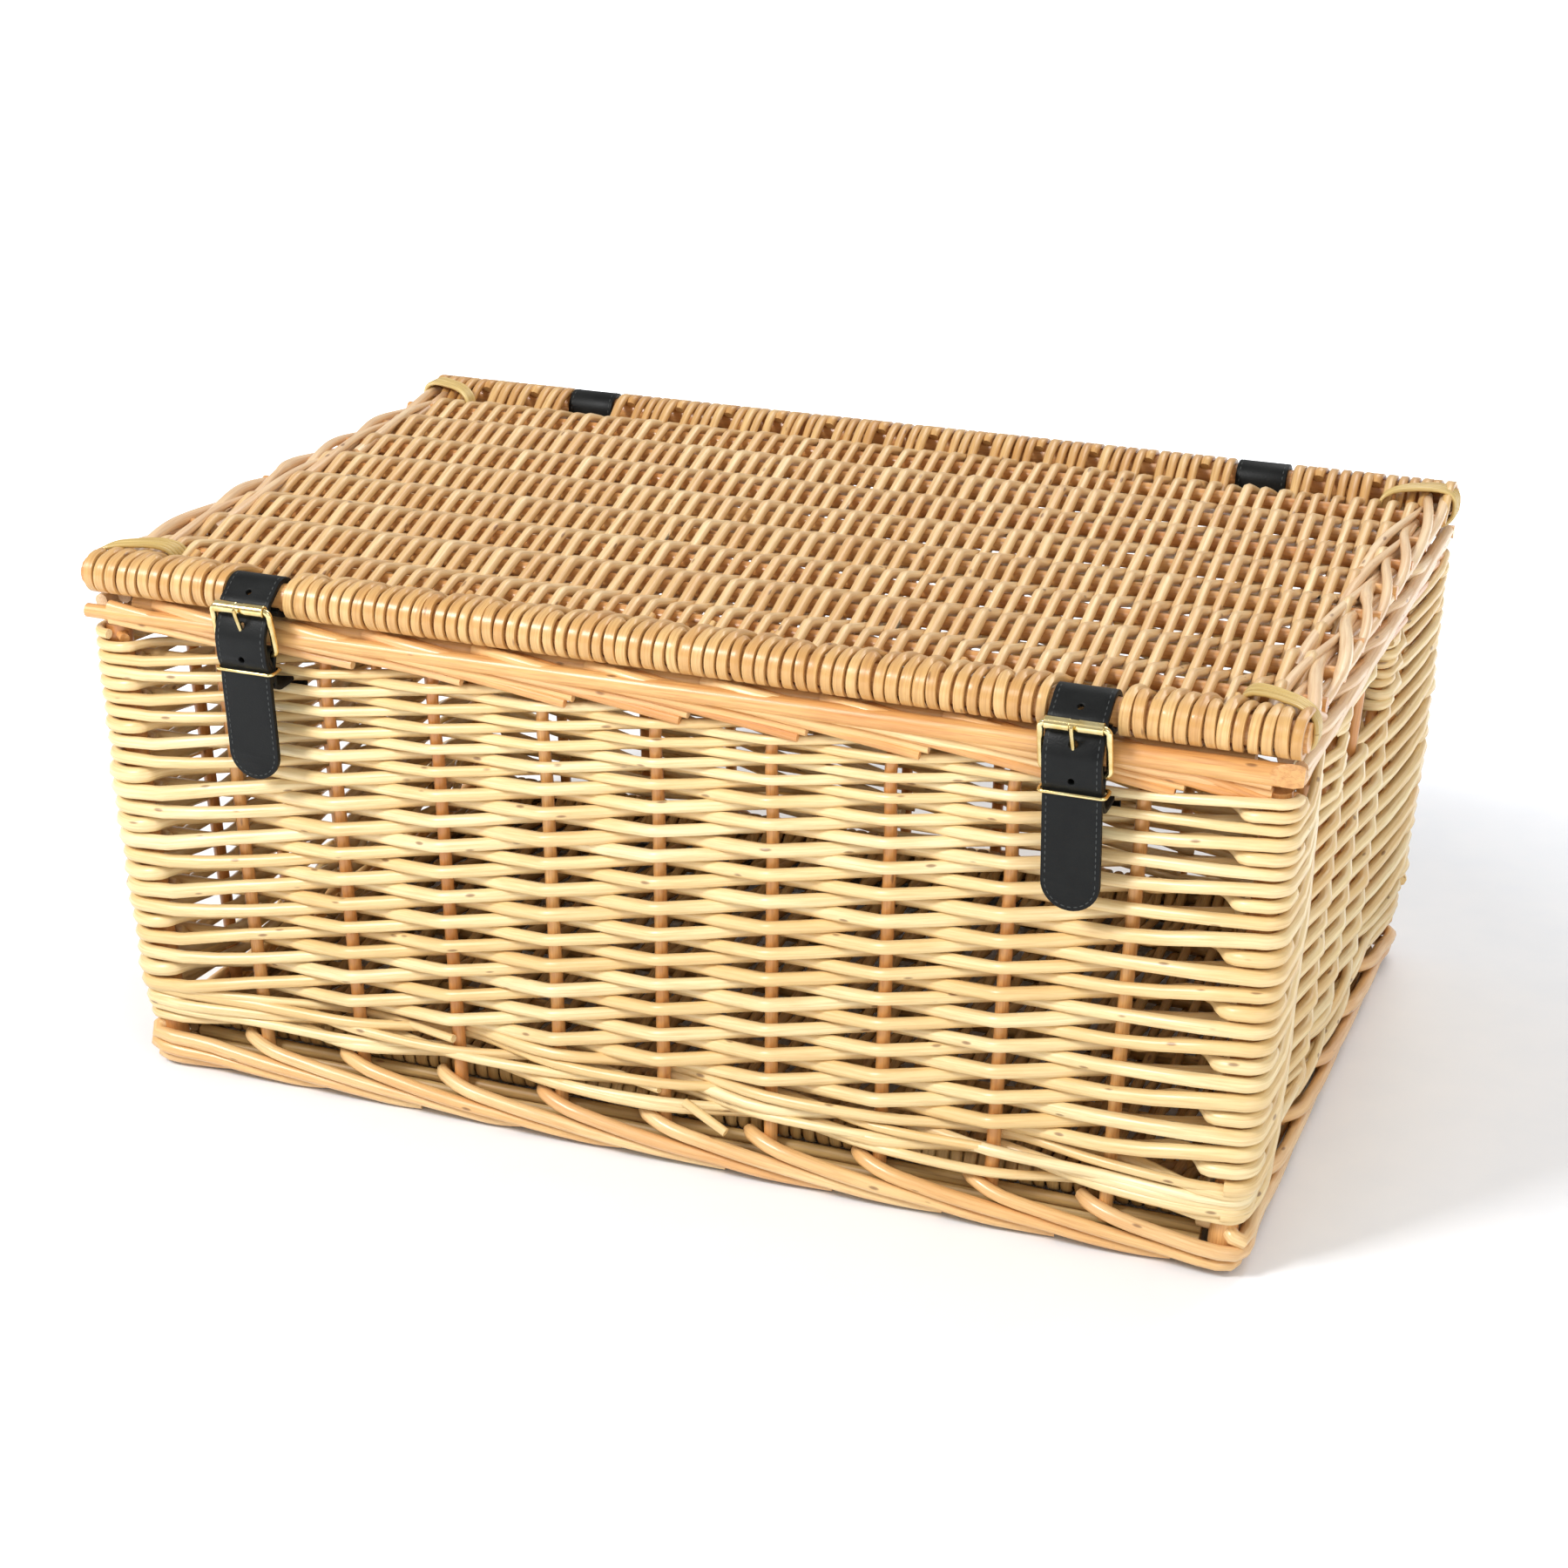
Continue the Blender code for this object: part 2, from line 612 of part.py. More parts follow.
# ---------------------------------------------------------------- woven panels: lid and base
def build_woven_panel(name, parent, z, width, stick_y, half, wrap_radius, rows):
    """Rows that run front to back between two edge sticks, and wrap round both."""
    pitch = width / rows
    swells = [half - ROW_SWELL if n % 2 == 0 else half + ROW_SWELL for n in range(2 * rows + 1)]
    top = [(n * pitch / 2 - width / 2, swell) for n, swell in enumerate(swells)]
    outline = top[::-1] + [(x, -height) for x, height in top]
    bm = bmesh.new()
    add_flat_solid(bm, [outline], stick_y, "Y", (0, 0, z))
    piece = piece_from(bm, f"{name}_weave", "woven_willow", parent)
    for side, place in ((FRONT, "front"), (REAR, "rear")):
        reach = width / 2 + GAP
        bm = bmesh.new()
        add_rod(bm, (-reach, side * stick_y, z), (reach, side * stick_y, z), wrap_radius, WRAP_SIDES)
        combine(piece, helper_from(bm, f"{name}_{place}_wraps"), "UNION")
    return piece


def build_sticks(name, parent, z, half_length, stick_y, radius, inner_count):
    """Two thick edge sticks and the thinner ones between them. Returns the inner ones' places."""
    for side, place in ((FRONT, "front"), (REAR, "rear")):
        y = side * stick_y
        bm = bmesh.new()
        add_rod(bm, (-half_length, y, z), (half_length, y, z), radius)
        piece_from(bm, f"{name}_{place}_stick", "willow_rod", parent)
    inner = [stick_y * share for share in stake_shares(inner_count)]
    for n, y in enumerate(inner):
        bm = bmesh.new()
        reach = half_length - TIE_THICKNESS
        add_rod(bm, (-reach, y, z), (reach, y, z), INNER_STICK_RADIUS, SMALL_SIDES)
        piece_from(bm, f"{name}_inner_stick_{n + 1}", "willow_rod", parent)
    return inner


def stick_channels(name, z, reach, stick_y, radius, inner):
    bm = bmesh.new()
    for side in (FRONT, REAR):
        y = side * stick_y
        add_rod(bm, (-reach, y, z), (reach, y, z), radius + GAP)
    for y in inner:
        add_rod(bm, (-reach, y, z), (reach, y, z), INNER_STICK_RADIUS + GAP, SMALL_SIDES)
    return helper_from(bm, f"{name}_stick_channels")


def edge_notches():
    """Gaps in the lid's wraps where the straps and the hinge loops go round its edge sticks."""
    bm = bmesh.new()
    reach = 2 * LID_WRAP_RADIUS
    for side_x in (-1, 1):
        for x, half, side in (
            (STRAP_X, STRAP_WIDTH / 2, FRONT),
            (HINGE_X, HINGE_WIDTH / 2, REAR),
        ):
            low_y, high_y = sorted((side * (STICK_Y - reach), side * (STICK_Y + reach)))
            half += NOTCH_CLEARANCE
            add_box(
                bm,
                (side_x * x - half, low_y, LID_Z - reach),
                (side_x * x + half, high_y, LID_Z + reach),
            )
    return helper_from(bm, "lid_edge_notches")


def build_lid():
    inner = build_sticks(
        "lid", LID_AXIS, LID_Z, LID_WIDTH / 2, STICK_Y, LID_STICK_RADIUS, LID_INNER_STICKS
    )
    channels = stick_channels("lid", LID_Z, LID_WIDTH, STICK_Y, LID_STICK_RADIUS, inner)
    weave = build_woven_panel(
        "lid", LID_AXIS, LID_Z, LID_WEAVE_WIDTH, STICK_Y, LID_WEAVE_HALF, LID_WRAP_RADIUS, LID_ROWS
    )
    combine(weave, channels, "DIFFERENCE")
    combine(weave, edge_notches(), "DIFFERENCE")
    half_y = STICK_Y - LID_STICK_RADIUS - GAP
    for side, place in ((-1, "left"), (1, "right")):
        outer = LID_WIDTH / 2 - TIE_THICKNESS / 2
        low_x, high_x = sorted((side * outer, side * (outer - PLAIT_WIDTH)))
        bm = bmesh.new()
        half_z = PLAIT_HEIGHT / 2
        add_box(bm, (low_x, -half_y, LID_Z - half_z), (high_x, half_y, LID_Z + half_z))
        edges = [e for e in bm.edges if abs(e.verts[0].co.y - e.verts[1].co.y) > half_y]
        bmesh.ops.bevel(
            bm, geom=edges, offset=PLAIT_ROUND, segments=CORNER_STEPS, profile=0.5, affect="EDGES"
        )
        plait = piece_from(bm, f"lid_end_plait_{place}", "woven_willow", LID_AXIS)
        combine(plait, channels, "DIFFERENCE")
        for side_y, end in ((FRONT, "front"), (REAR, "rear")):
            tie_y = side_y * (half_y - TIE_FROM_END)
            build_tie(f"lid_corner_tie_{end}_{place}", (low_x + high_x) / 2, tie_y)


def build_tie(name, x, y):
    """A band of split skein bound round an end plait close to a lid corner."""
    half_x = PLAIT_WIDTH / 2 + GAP
    half_z = PLAIT_HEIGHT / 2 + GAP
    inner = rounded_rectangle(half_x, half_z, PLAIT_ROUND)
    outer = rounded_rectangle(
        half_x + TIE_THICKNESS, half_z + TIE_THICKNESS, PLAIT_ROUND + TIE_THICKNESS
    )
    bm = bmesh.new()
    add_flat_solid(bm, [outer, inner], TIE_WIDTH / 2, "Y", (x, y, LID_Z))
    piece_from(bm, name, "split_skein", LID_AXIS)


def build_base():
    clear = STAKE_RADIUS + BASE_CLEARANCE
    half_x = post_half_x(BASE_Z) - clear
    stick_y = post_half_y(BASE_Z) - clear - BASE_WRAP_RADIUS
    inner = build_sticks(
        "base", TRUNK, BASE_Z, half_x, stick_y, BASE_STICK_RADIUS, BASE_INNER_STICKS
    )
    weave = build_woven_panel(
        "base", TRUNK, BASE_Z, 2 * (half_x - BASE_CLEARANCE), stick_y, BASE_WEAVE_HALF,
        BASE_WRAP_RADIUS, BASE_ROWS
    )
    channels = stick_channels("base", BASE_Z, LID_WIDTH, stick_y, BASE_STICK_RADIUS, inner)
    combine(weave, channels, "DIFFERENCE")


# ---------------------------------------------------------------- leather and brass
def build_hinge_loop(side_x, place):
    """A leather band sewn into a loop round the lid's rear stick and the wall's top rods."""
    border = (post_half_y(BORDER_Z), BORDER_Z, BORDER_RADIUS)
    edge = (post_half_y(BORDER_Z) + EDGE_ROD_OUT, BORDER_Z - EDGE_ROD_DROP, EDGE_ROD_RADIUS)
    stick = (STICK_Y, LID_Z, LID_STICK_RADIUS)
    outlines = []
    for thickness in (HINGE_THICKNESS, 0):
        points = []
        for y, z, radius in (border, edge, stick):
            points += circle((y, z), radius + LOOP_CLEARANCE + thickness)
        outlines.append(hull(points))
    bm = bmesh.new()
    add_flat_solid(bm, outlines, HINGE_WIDTH / 2, "X", (side_x * HINGE_X, 0, 0))
    piece_from(bm, f"hinge_loop_{place}", "black_leather", TRUNK)


def bends_from(y, z, bends):
    """Points of a path, from their distances to the fitting that the path passes."""
    return [(y + inwards, z + up) for inwards, up in bends]


def strap_path():
    """The middle of a front strap, seen from its side: round the lid's front stick, then down."""
    stick = (-STICK_Y, LID_Z)
    loop = arc(stick, STRAP_LOOP_RADIUS, STRAP_SEAM_START, STRAP_SEAM_END)
    half = STRAP_THICKNESS / 2
    behind_roller = ROLLER_Y + ROLLER_RADIUS + GAP + half
    over_heel = HEEL_Y - CHAPE_RADIUS - CHAPE_THICKNESS / 2 - GAP - half
    fall = [
        loop[-1],
        *bends_from(behind_roller, ROLLER_Z, STRAP_BENDS_BEHIND_ROLLER),
        *bends_from(over_heel, HEEL_Z, STRAP_BENDS_OVER_HEEL),
        *bends_from(STRAP_AT_KEEPER_Y, KEEPER_Z, STRAP_BENDS_AT_KEEPER),
        (STRAP_AT_KEEPER_Y + STRAP_TIP_IN, STRAP_TIP_Z),
    ]
    return loop[:-1] + smooth_path(fall)


def path_point(path, distance):
    """The point a distance along a path, with the path's direction there."""
    for here, there in zip(path, path[1:]):
        step = Vector(there) - Vector(here)
        if distance <= step.length:
            return Vector(here) + step.normalized() * distance, step.normalized()
        distance -= step.length
    return Vector(path[-1]), step.normalized()


def prong_crossing(path):
    """How far along a strap's path the prong's axis passes through it."""
    heel = Vector((HEEL_Y, HEEL_Z))
    behind = Vector((math.cos(PRONG_LEAN), math.sin(PRONG_LEAN)))
    length = 0
    for here, there in zip(path, path[1:]):
        before = (Vector(here) - heel).dot(behind)
        after = (Vector(there) - heel).dot(behind)
        step = (Vector(there) - Vector(here)).length
        if before > 0 >= after:
            return length + step * before / (before - after)
        length += step
    raise ValueError("the prong misses its strap")


def strap_holes(path, x, place):
    """The punched holes, and the slanting one that the prong stands in."""
    crossing = prong_crossing(path)
    bm = bmesh.new()
    for shift in (-STRAP_HOLE_PITCH, STRAP_HOLE_PITCH):
        point, along = path_point(path, crossing + shift)
        normal = Vector((0, -along.y, along.x)) * STRAP_THICKNESS
        middle = Vector((x, point.x, point.y))
        add_rod(bm, middle - normal, middle + normal, STRAP_HOLE_RADIUS, HOLE_SIDES)
    point, _ = path_point(path, crossing)
    middle = Vector((x, point.x, point.y))
    lean = Vector((0, -math.sin(PRONG_LEAN), math.cos(PRONG_LEAN))) * STRAP_THICKNESS * 3
    add_rod(bm, middle - lean, middle + lean, PRONG_RADIUS + PRONG_HOLE_CLEARANCE, HOLE_SIDES)
    return helper_from(bm, f"strap_holes_{place}")


def strap_tip_cutter(x, tip_y, place):
    """What the rounded tip leaves of the band's square end."""
    half = STRAP_WIDTH / 2
    round_z = STRAP_TIP_Z + half
    low_z = STRAP_TIP_Z - half / 2
    curve = arc((0, round_z), half, math.pi, math.tau)
    outline = [(-half - GAP, low_z), (-half - GAP, round_z)] + curve
    outline += [(half + GAP, round_z), (half + GAP, low_z)]
    bm = bmesh.new()
    add_flat_solid(bm, [outline[::-1]], STRAP_THICKNESS * 2, "Y", (x, tip_y, 0))
    return helper_from(bm, f"strap_tip_{place}")


def build_front_strap(side_x, place):
    x = side_x * STRAP_X
    axis = axis_empty(f"front_strap_{place}_axis", (x, -STICK_Y, LID_Z), LID_AXIS)
    path = strap_path()
    bm = bmesh.new()
    add_flat_solid(bm, [band_outline(path, STRAP_THICKNESS)], STRAP_WIDTH / 2, "X", (x, 0, 0))
    strap = piece_from(bm, f"front_strap_{place}", "black_leather", axis)
    combine(strap, strap_tip_cutter(x, path[-1][0], place), "DIFFERENCE")
    combine(strap, strap_holes(path, x, place), "DIFFERENCE")


def chape_path():
    """The middle of a buckle's leather holder: down in front, round the heel bar, into the wall."""
    over_bar = arc((HEEL_Y, HEEL_Z), CHAPE_RADIUS, math.pi, 0)
    closed = HEEL_Z - CHAPE_CLOSED
    in_wall = HEEL_Z - CHAPE_IN_WALL
    wall_inside = -post_half_y(in_wall) + WALL_HALF + ROW_SWELL
    inner_fold = wall_inside + CHAPE_THICKNESS / 2 + CHAPE_FOLD_CLEARANCE
    return [
        (CHAPE_FRONT_Y, HEEL_Z - CHAPE_FRONT_END),
        (CHAPE_FRONT_Y, closed),
        *over_bar,
        (CHAPE_BACK_Y, closed),
        *bends_from(CHAPE_BACK_Y, in_wall, CHAPE_BENDS_INTO_WALL),
        *bends_from(inner_fold, in_wall, CHAPE_BENDS_INSIDE),
        (inner_fold, HEEL_Z - CHAPE_INNER_END),
    ]


def build_chape(side_x, place):
    x = side_x * STRAP_X
    bm = bmesh.new()
    outline = band_outline(chape_path(), CHAPE_THICKNESS)
    add_flat_solid(bm, [outline], CHAPE_WIDTH / 2, "X", (x, 0, 0))
    chape = piece_from(bm, f"buckle_chape_{place}", "black_leather", TRUNK)
    bm = bmesh.new()
    reach = 2 * CHAPE_RADIUS
    low = (x - CHAPE_SLOT_HALF, HEEL_Y - reach, HEEL_Z - PRONG_EYE_RADIUS - GAP)
    high = (x + CHAPE_SLOT_HALF, HEEL_Y + reach, HEEL_Z + reach)
    add_box(bm, low, high)
    combine(chape, helper_from(bm, f"prong_slot_{place}"), "DIFFERENCE")


def chape_slots():
    """Slots in the front wall that the chapes go in by."""
    z = HEEL_Z - CHAPE_IN_WALL
    half_z = CHAPE_THICKNESS / 2 + GAP
    half_x = CHAPE_WIDTH / 2 + GAP
    outside = -post_half_y(z) - 2 * WALL_HALF
    inside = -post_half_y(z) + 2 * WALL_HALF
    bm = bmesh.new()
    for side_x in (-1, 1):
        x = side_x * STRAP_X
        add_box(bm, (x - half_x, outside, z - half_z), (x + half_x, inside, z + half_z))
    return helper_from(bm, "chape_slots")


def build_buckle(side_x, place):
    """Wire frame on the chape's heel bar, roller on its top bar, and prong on the heel bar."""
    x = side_x * STRAP_X
    heel = Vector((x, HEEL_Y, HEEL_Z))
    axis = axis_empty(f"buckle_{place}_axis", heel, TRUNK)
    lean = Matrix.Translation(heel) @ Matrix.Rotation(BUCKLE_LEAN, 4, "X")
    half_height = BUCKLE_HEIGHT / 2
    points = [
        lean @ Vector((u, 0, v + half_height))
        for u, v in rounded_rectangle(FRAME_HALF_WIDTH, half_height, FRAME_CORNER)
    ]
    bm = bmesh.new()
    add_wire_loop(bm, points, FRAME_WIRE_RADIUS)
    piece_from(bm, f"buckle_frame_{place}", "brass", axis)

    roller_axis = (x, ROLLER_Y, ROLLER_Z)
    circles = [circle((ROLLER_Y, ROLLER_Z), radius) for radius in (ROLLER_RADIUS, ROLLER_BORE)]
    bm = bmesh.new()
    add_flat_solid(bm, circles, ROLLER_HALF_LENGTH, "X", (x, 0, 0))
    piece_from(bm, f"buckle_roller_{place}", "brass", axis, roller_axis)

    side_step = Vector((PRONG_HALF_WIDTH, 0, 0))
    up = Vector((0, -math.sin(PRONG_LEAN), math.cos(PRONG_LEAN)))
    bm = bmesh.new()
    add_rod(bm, heel - side_step, heel + side_step, PRONG_EYE_RADIUS)
    prong = piece_from(bm, f"buckle_prong_{place}", "brass", axis)
    bm = bmesh.new()
    shaft_foot = (PRONG_EYE_RADIUS + PRONG_EYE_BORE) / 2
    add_rod(bm, heel + up * shaft_foot, heel + up * PRONG_LENGTH, PRONG_RADIUS, HOLE_SIDES)
    combine(prong, helper_from(bm, f"prong_shaft_{place}"), "UNION")
    bm = bmesh.new()
    add_rod(bm, heel - 2 * side_step, heel + 2 * side_step, PRONG_EYE_BORE)
    combine(prong, helper_from(bm, f"prong_eye_{place}"), "DIFFERENCE")


def build_keeper(side_x, place):
    """A wire loop that slides on the chape and holds the strap's tail."""
    x = side_x * STRAP_X
    middle_y = (KEEPER_BACK_Y + KEEPER_FRONT_Y) / 2
    half_y = (KEEPER_BACK_Y - KEEPER_FRONT_Y) / 2
    points = [
        (x + u, middle_y + v, KEEPER_Z)
        for u, v in rounded_rectangle(KEEPER_HALF_WIDTH, half_y, KEEPER_CORNER)
    ]
    bm = bmesh.new()
    add_wire_loop(bm, points, KEEPER_WIRE_RADIUS)
    piece_from(bm, f"strap_keeper_{place}", "brass", TRUNK, (x, middle_y, KEEPER_Z))


# ---------------------------------------------------------------- the whole trunk
def centre_front_to_back():
    """Move the trunk so that its origin is halfway between its foremost and rearmost points."""
    bpy.context.view_layer.update()
    depsgraph = bpy.context.evaluated_depsgraph_get()
    ys = []
    for piece in PARTS.objects:
        if piece.type == "MESH":
            shown = piece.evaluated_get(depsgraph)
            ys += [(shown.matrix_world @ v.co).y for v in shown.data.vertices]
    TRUNK.location.y = -(min(ys) + max(ys)) / 2


def build_trunk():
    build_posts()
    channels = post_channels()
    for wall in WALLS:
        build_stakes_with_border(wall)
        build_edge_rod(wall)
        weave = build_wall(wall, channels)
        if wall == "front":
            combine(weave, chape_slots(), "DIFFERENCE")
        if wall in ("left", "right"):
            combine(weave, hand_hole(wall), "DIFFERENCE")
    build_bottom_wale(channels)
    build_foot_border()
    build_base()
    build_lid()
    for side_x, place in ((-1, "left"), (1, "right")):
        build_hinge_loop(side_x, place)
        build_front_strap(side_x, place)
        build_chape(side_x, place)
        build_buckle(side_x, place)
        build_keeper(side_x, place)
    centre_front_to_back()


build_trunk()
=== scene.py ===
"""Looks of the woven willow trunk: its rods, rows, borders, wraps, ties, leather and brass."""

import math
import random

import bmesh
import bpy
from mathutils import Matrix, Vector
from mathutils.geometry import convex_hull_2d


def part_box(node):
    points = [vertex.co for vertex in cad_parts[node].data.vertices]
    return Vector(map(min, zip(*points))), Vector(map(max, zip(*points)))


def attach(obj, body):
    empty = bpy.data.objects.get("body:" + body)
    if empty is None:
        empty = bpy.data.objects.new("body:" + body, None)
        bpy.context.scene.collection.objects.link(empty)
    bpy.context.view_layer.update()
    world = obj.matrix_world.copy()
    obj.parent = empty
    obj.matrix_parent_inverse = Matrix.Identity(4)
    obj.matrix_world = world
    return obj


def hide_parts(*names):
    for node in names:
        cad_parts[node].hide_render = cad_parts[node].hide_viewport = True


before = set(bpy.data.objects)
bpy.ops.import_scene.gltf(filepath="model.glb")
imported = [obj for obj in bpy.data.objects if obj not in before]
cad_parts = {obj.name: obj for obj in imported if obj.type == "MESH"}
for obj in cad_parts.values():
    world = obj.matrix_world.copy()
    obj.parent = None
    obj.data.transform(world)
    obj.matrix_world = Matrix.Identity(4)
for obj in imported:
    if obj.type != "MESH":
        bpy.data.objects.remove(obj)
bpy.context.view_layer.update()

MM = 0.001
CHANCE = random.Random(7)


# ---------------------------------------------------------------- sizes read off the frame
def middle(node):
    low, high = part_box(node)
    return (low + high) / 2


def size_of(node):
    low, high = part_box(node)
    return high - low


POST_R = 6.2 * MM
STAKE_R = 3.1 * MM
BORDER_R = 4.75 * MM
EDGE_ROD_R = 4.2 * MM
STICK_R = size_of("lid_front_stick").z / 2
INNER_STICK_R = size_of("lid_inner_stick_1").z / 2
BORDER_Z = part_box("front_stakes_and_border")[1].z - BORDER_R
FRONT_POST_LOW, FRONT_POST_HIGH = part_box("corner_post_front_right")
REAR_POST_LOW, REAR_POST_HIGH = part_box("corner_post_rear_right")
MID_Y = (FRONT_POST_HIGH.y + REAR_POST_LOW.y) / 2
FOOT_Z, POST_TOP_Z = FRONT_POST_LOW.z, FRONT_POST_HIGH.z
HALF_X_FOOT = FRONT_POST_LOW.x + POST_R
HALF_X_TOP = FRONT_POST_HIGH.x - POST_R
HALF_Y_FOOT = (REAR_POST_LOW.y - FRONT_POST_HIGH.y) / 2 + POST_R
HALF_Y_TOP = (REAR_POST_HIGH.y - FRONT_POST_LOW.y) / 2 - POST_R
FRONT_GAPS, END_GAPS = 10, 6
RING = 2 * (FRONT_GAPS + END_GAPS)
WALL_SPANS = {
    "front": (0, FRONT_GAPS),
    "right": (FRONT_GAPS, FRONT_GAPS + END_GAPS),
    "rear": (FRONT_GAPS + END_GAPS, RING - END_GAPS),
    "left": (RING - END_GAPS, RING),
}
CORNERS_AT = [first for first, _ in WALL_SPANS.values()]
CORNER_FACING = dict(zip(CORNERS_AT, (225, 315, 45, 135)))
WALL_BOTTOM, WALL_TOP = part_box("front_wall_weave")[0].z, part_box("front_wall_weave")[1].z
WALE_BOTTOM, WALE_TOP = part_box("bottom_wale")[0].z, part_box("bottom_wale")[1].z
LID_Z = middle("lid_front_stick").z
LID_FRONT_Y = middle("lid_front_stick").y
LID_REAR_Y = middle("lid_rear_stick").y
HAND_HOLE_LOW, HAND_HOLE_HIGH = 184 * MM, 213 * MM
UPRIGHTS_BEFORE_HOLES, UPRIGHTS_IN_HOLES, UPRIGHTS_AFTER_HOLES = (12, 28), (13, 29), (14, 30)
STRAP_X = middle("front_strap_right").x
HINGE_X = middle("hinge_loop_right").x
STRAP_W = size_of("front_strap_right").x
HINGE_W = size_of("hinge_loop_right").x


def share_up(z):
    return (z - FOOT_Z) / (POST_TOP_Z - FOOT_Z)


def half_x(z):
    return HALF_X_FOOT + (HALF_X_TOP - HALF_X_FOOT) * share_up(z)


def half_y(z):
    return HALF_Y_FOOT + (HALF_Y_TOP - HALF_Y_FOOT) * share_up(z)


def wall_place(s, z, out):
    """A point by a wall: s counts uprights round the basket from the front left post."""
    s %= RING
    hx, hy = half_x(z), half_y(z)
    if s < FRONT_GAPS:
        return Vector((-hx + 2 * hx * s / FRONT_GAPS, MID_Y - hy - out, z))
    s -= FRONT_GAPS
    if s < END_GAPS:
        return Vector((hx + out, MID_Y - hy + 2 * hy * s / END_GAPS, z))
    s -= END_GAPS
    if s < FRONT_GAPS:
        return Vector((hx - 2 * hx * s / FRONT_GAPS, MID_Y + hy + out, z))
    s -= FRONT_GAPS
    return Vector((-hx - out, MID_Y + hy - 2 * hy * s / END_GAPS, z))


def round_post(s, z, out, turn):
    """A point round the corner post that s names; turn runs from -45 to 45 degrees across the corner."""
    facing = CORNER_FACING[round(s) % RING]
    x = math.copysign(half_x(z), math.cos(math.radians(facing)))
    y = MID_Y + math.copysign(half_y(z), math.sin(math.radians(facing)))
    angle = math.radians(facing + turn)
    return Vector((x, y, z)) + Vector((math.cos(angle) * out, math.sin(angle) * out, 0))


def is_corner(s):
    return round(s) % RING in CORNERS_AT


# ---------------------------------------------------------------- materials
def tone(r, g, b):
    """A colour given as it looks on screen, 0 to 255."""
    return tuple(((c / 255 + 0.055) / 1.055) ** 2.4 if c > 10 else c / 3294 for c in (r, g, b)) + (1.0,)


class Finish:
    """A node material put together step by step."""

    def __init__(self, name):
        self.material = bpy.data.materials.new(name)
        self.material.use_nodes = True
        self.tree = self.material.node_tree
        self.shader = self.tree.nodes["Principled BSDF"]

    def node(self, kind, **settings):
        node = self.tree.nodes.new(kind)
        for key, value in settings.items():
            if key.startswith("_"):
                node.inputs[key[1:].replace("_", " ")].default_value = value
            else:
                setattr(node, key, value)
        return node

    def link(self, source, target):
        self.tree.links.new(source, target)

    def ramp(self, source, *stops):
        ramp = self.node("ShaderNodeValToRGB")
        while len(ramp.color_ramp.elements) < len(stops):
            ramp.color_ramp.elements.new(0.5)
        for element, (place, colour) in zip(ramp.color_ramp.elements, stops):
            element.position = place
            element.color = colour if len(colour) == 4 else (*colour, 1.0)
        self.link(source, ramp.inputs["Fac"])
        return ramp.outputs["Color"]

    def mix(self, share, first, second, blend="MIX"):
        mix = self.node("ShaderNodeMix", data_type="RGBA", blend_type=blend)
        for source, socket in ((share, mix.inputs[0]), (first, mix.inputs[6]), (second, mix.inputs[7])):
            if isinstance(source, (int, float, tuple)):
                socket.default_value = source
            else:
                self.link(source, socket)
        return mix.outputs[2]

    def maths(self, operation, first, second=0.0, third=0.0):
        maths = self.node("ShaderNodeMath", operation=operation)
        for source, socket in zip((first, second, third), maths.inputs):
            if isinstance(source, (int, float)):
                socket.default_value = source
            else:
                self.link(source, socket)
        return maths.outputs[0]

    def stretched(self, vector, scale):
        mapping = self.node("ShaderNodeMapping", _Scale=scale)
        self.link(vector, mapping.inputs["Vector"])
        return mapping.outputs["Vector"]

    def bump(self, height, strength, distance):
        bump = self.node("ShaderNodeBump", _Strength=strength, _Distance=distance)
        self.link(height, bump.inputs["Height"])
        self.link(bump.outputs["Normal"], self.shader.inputs["Normal"])


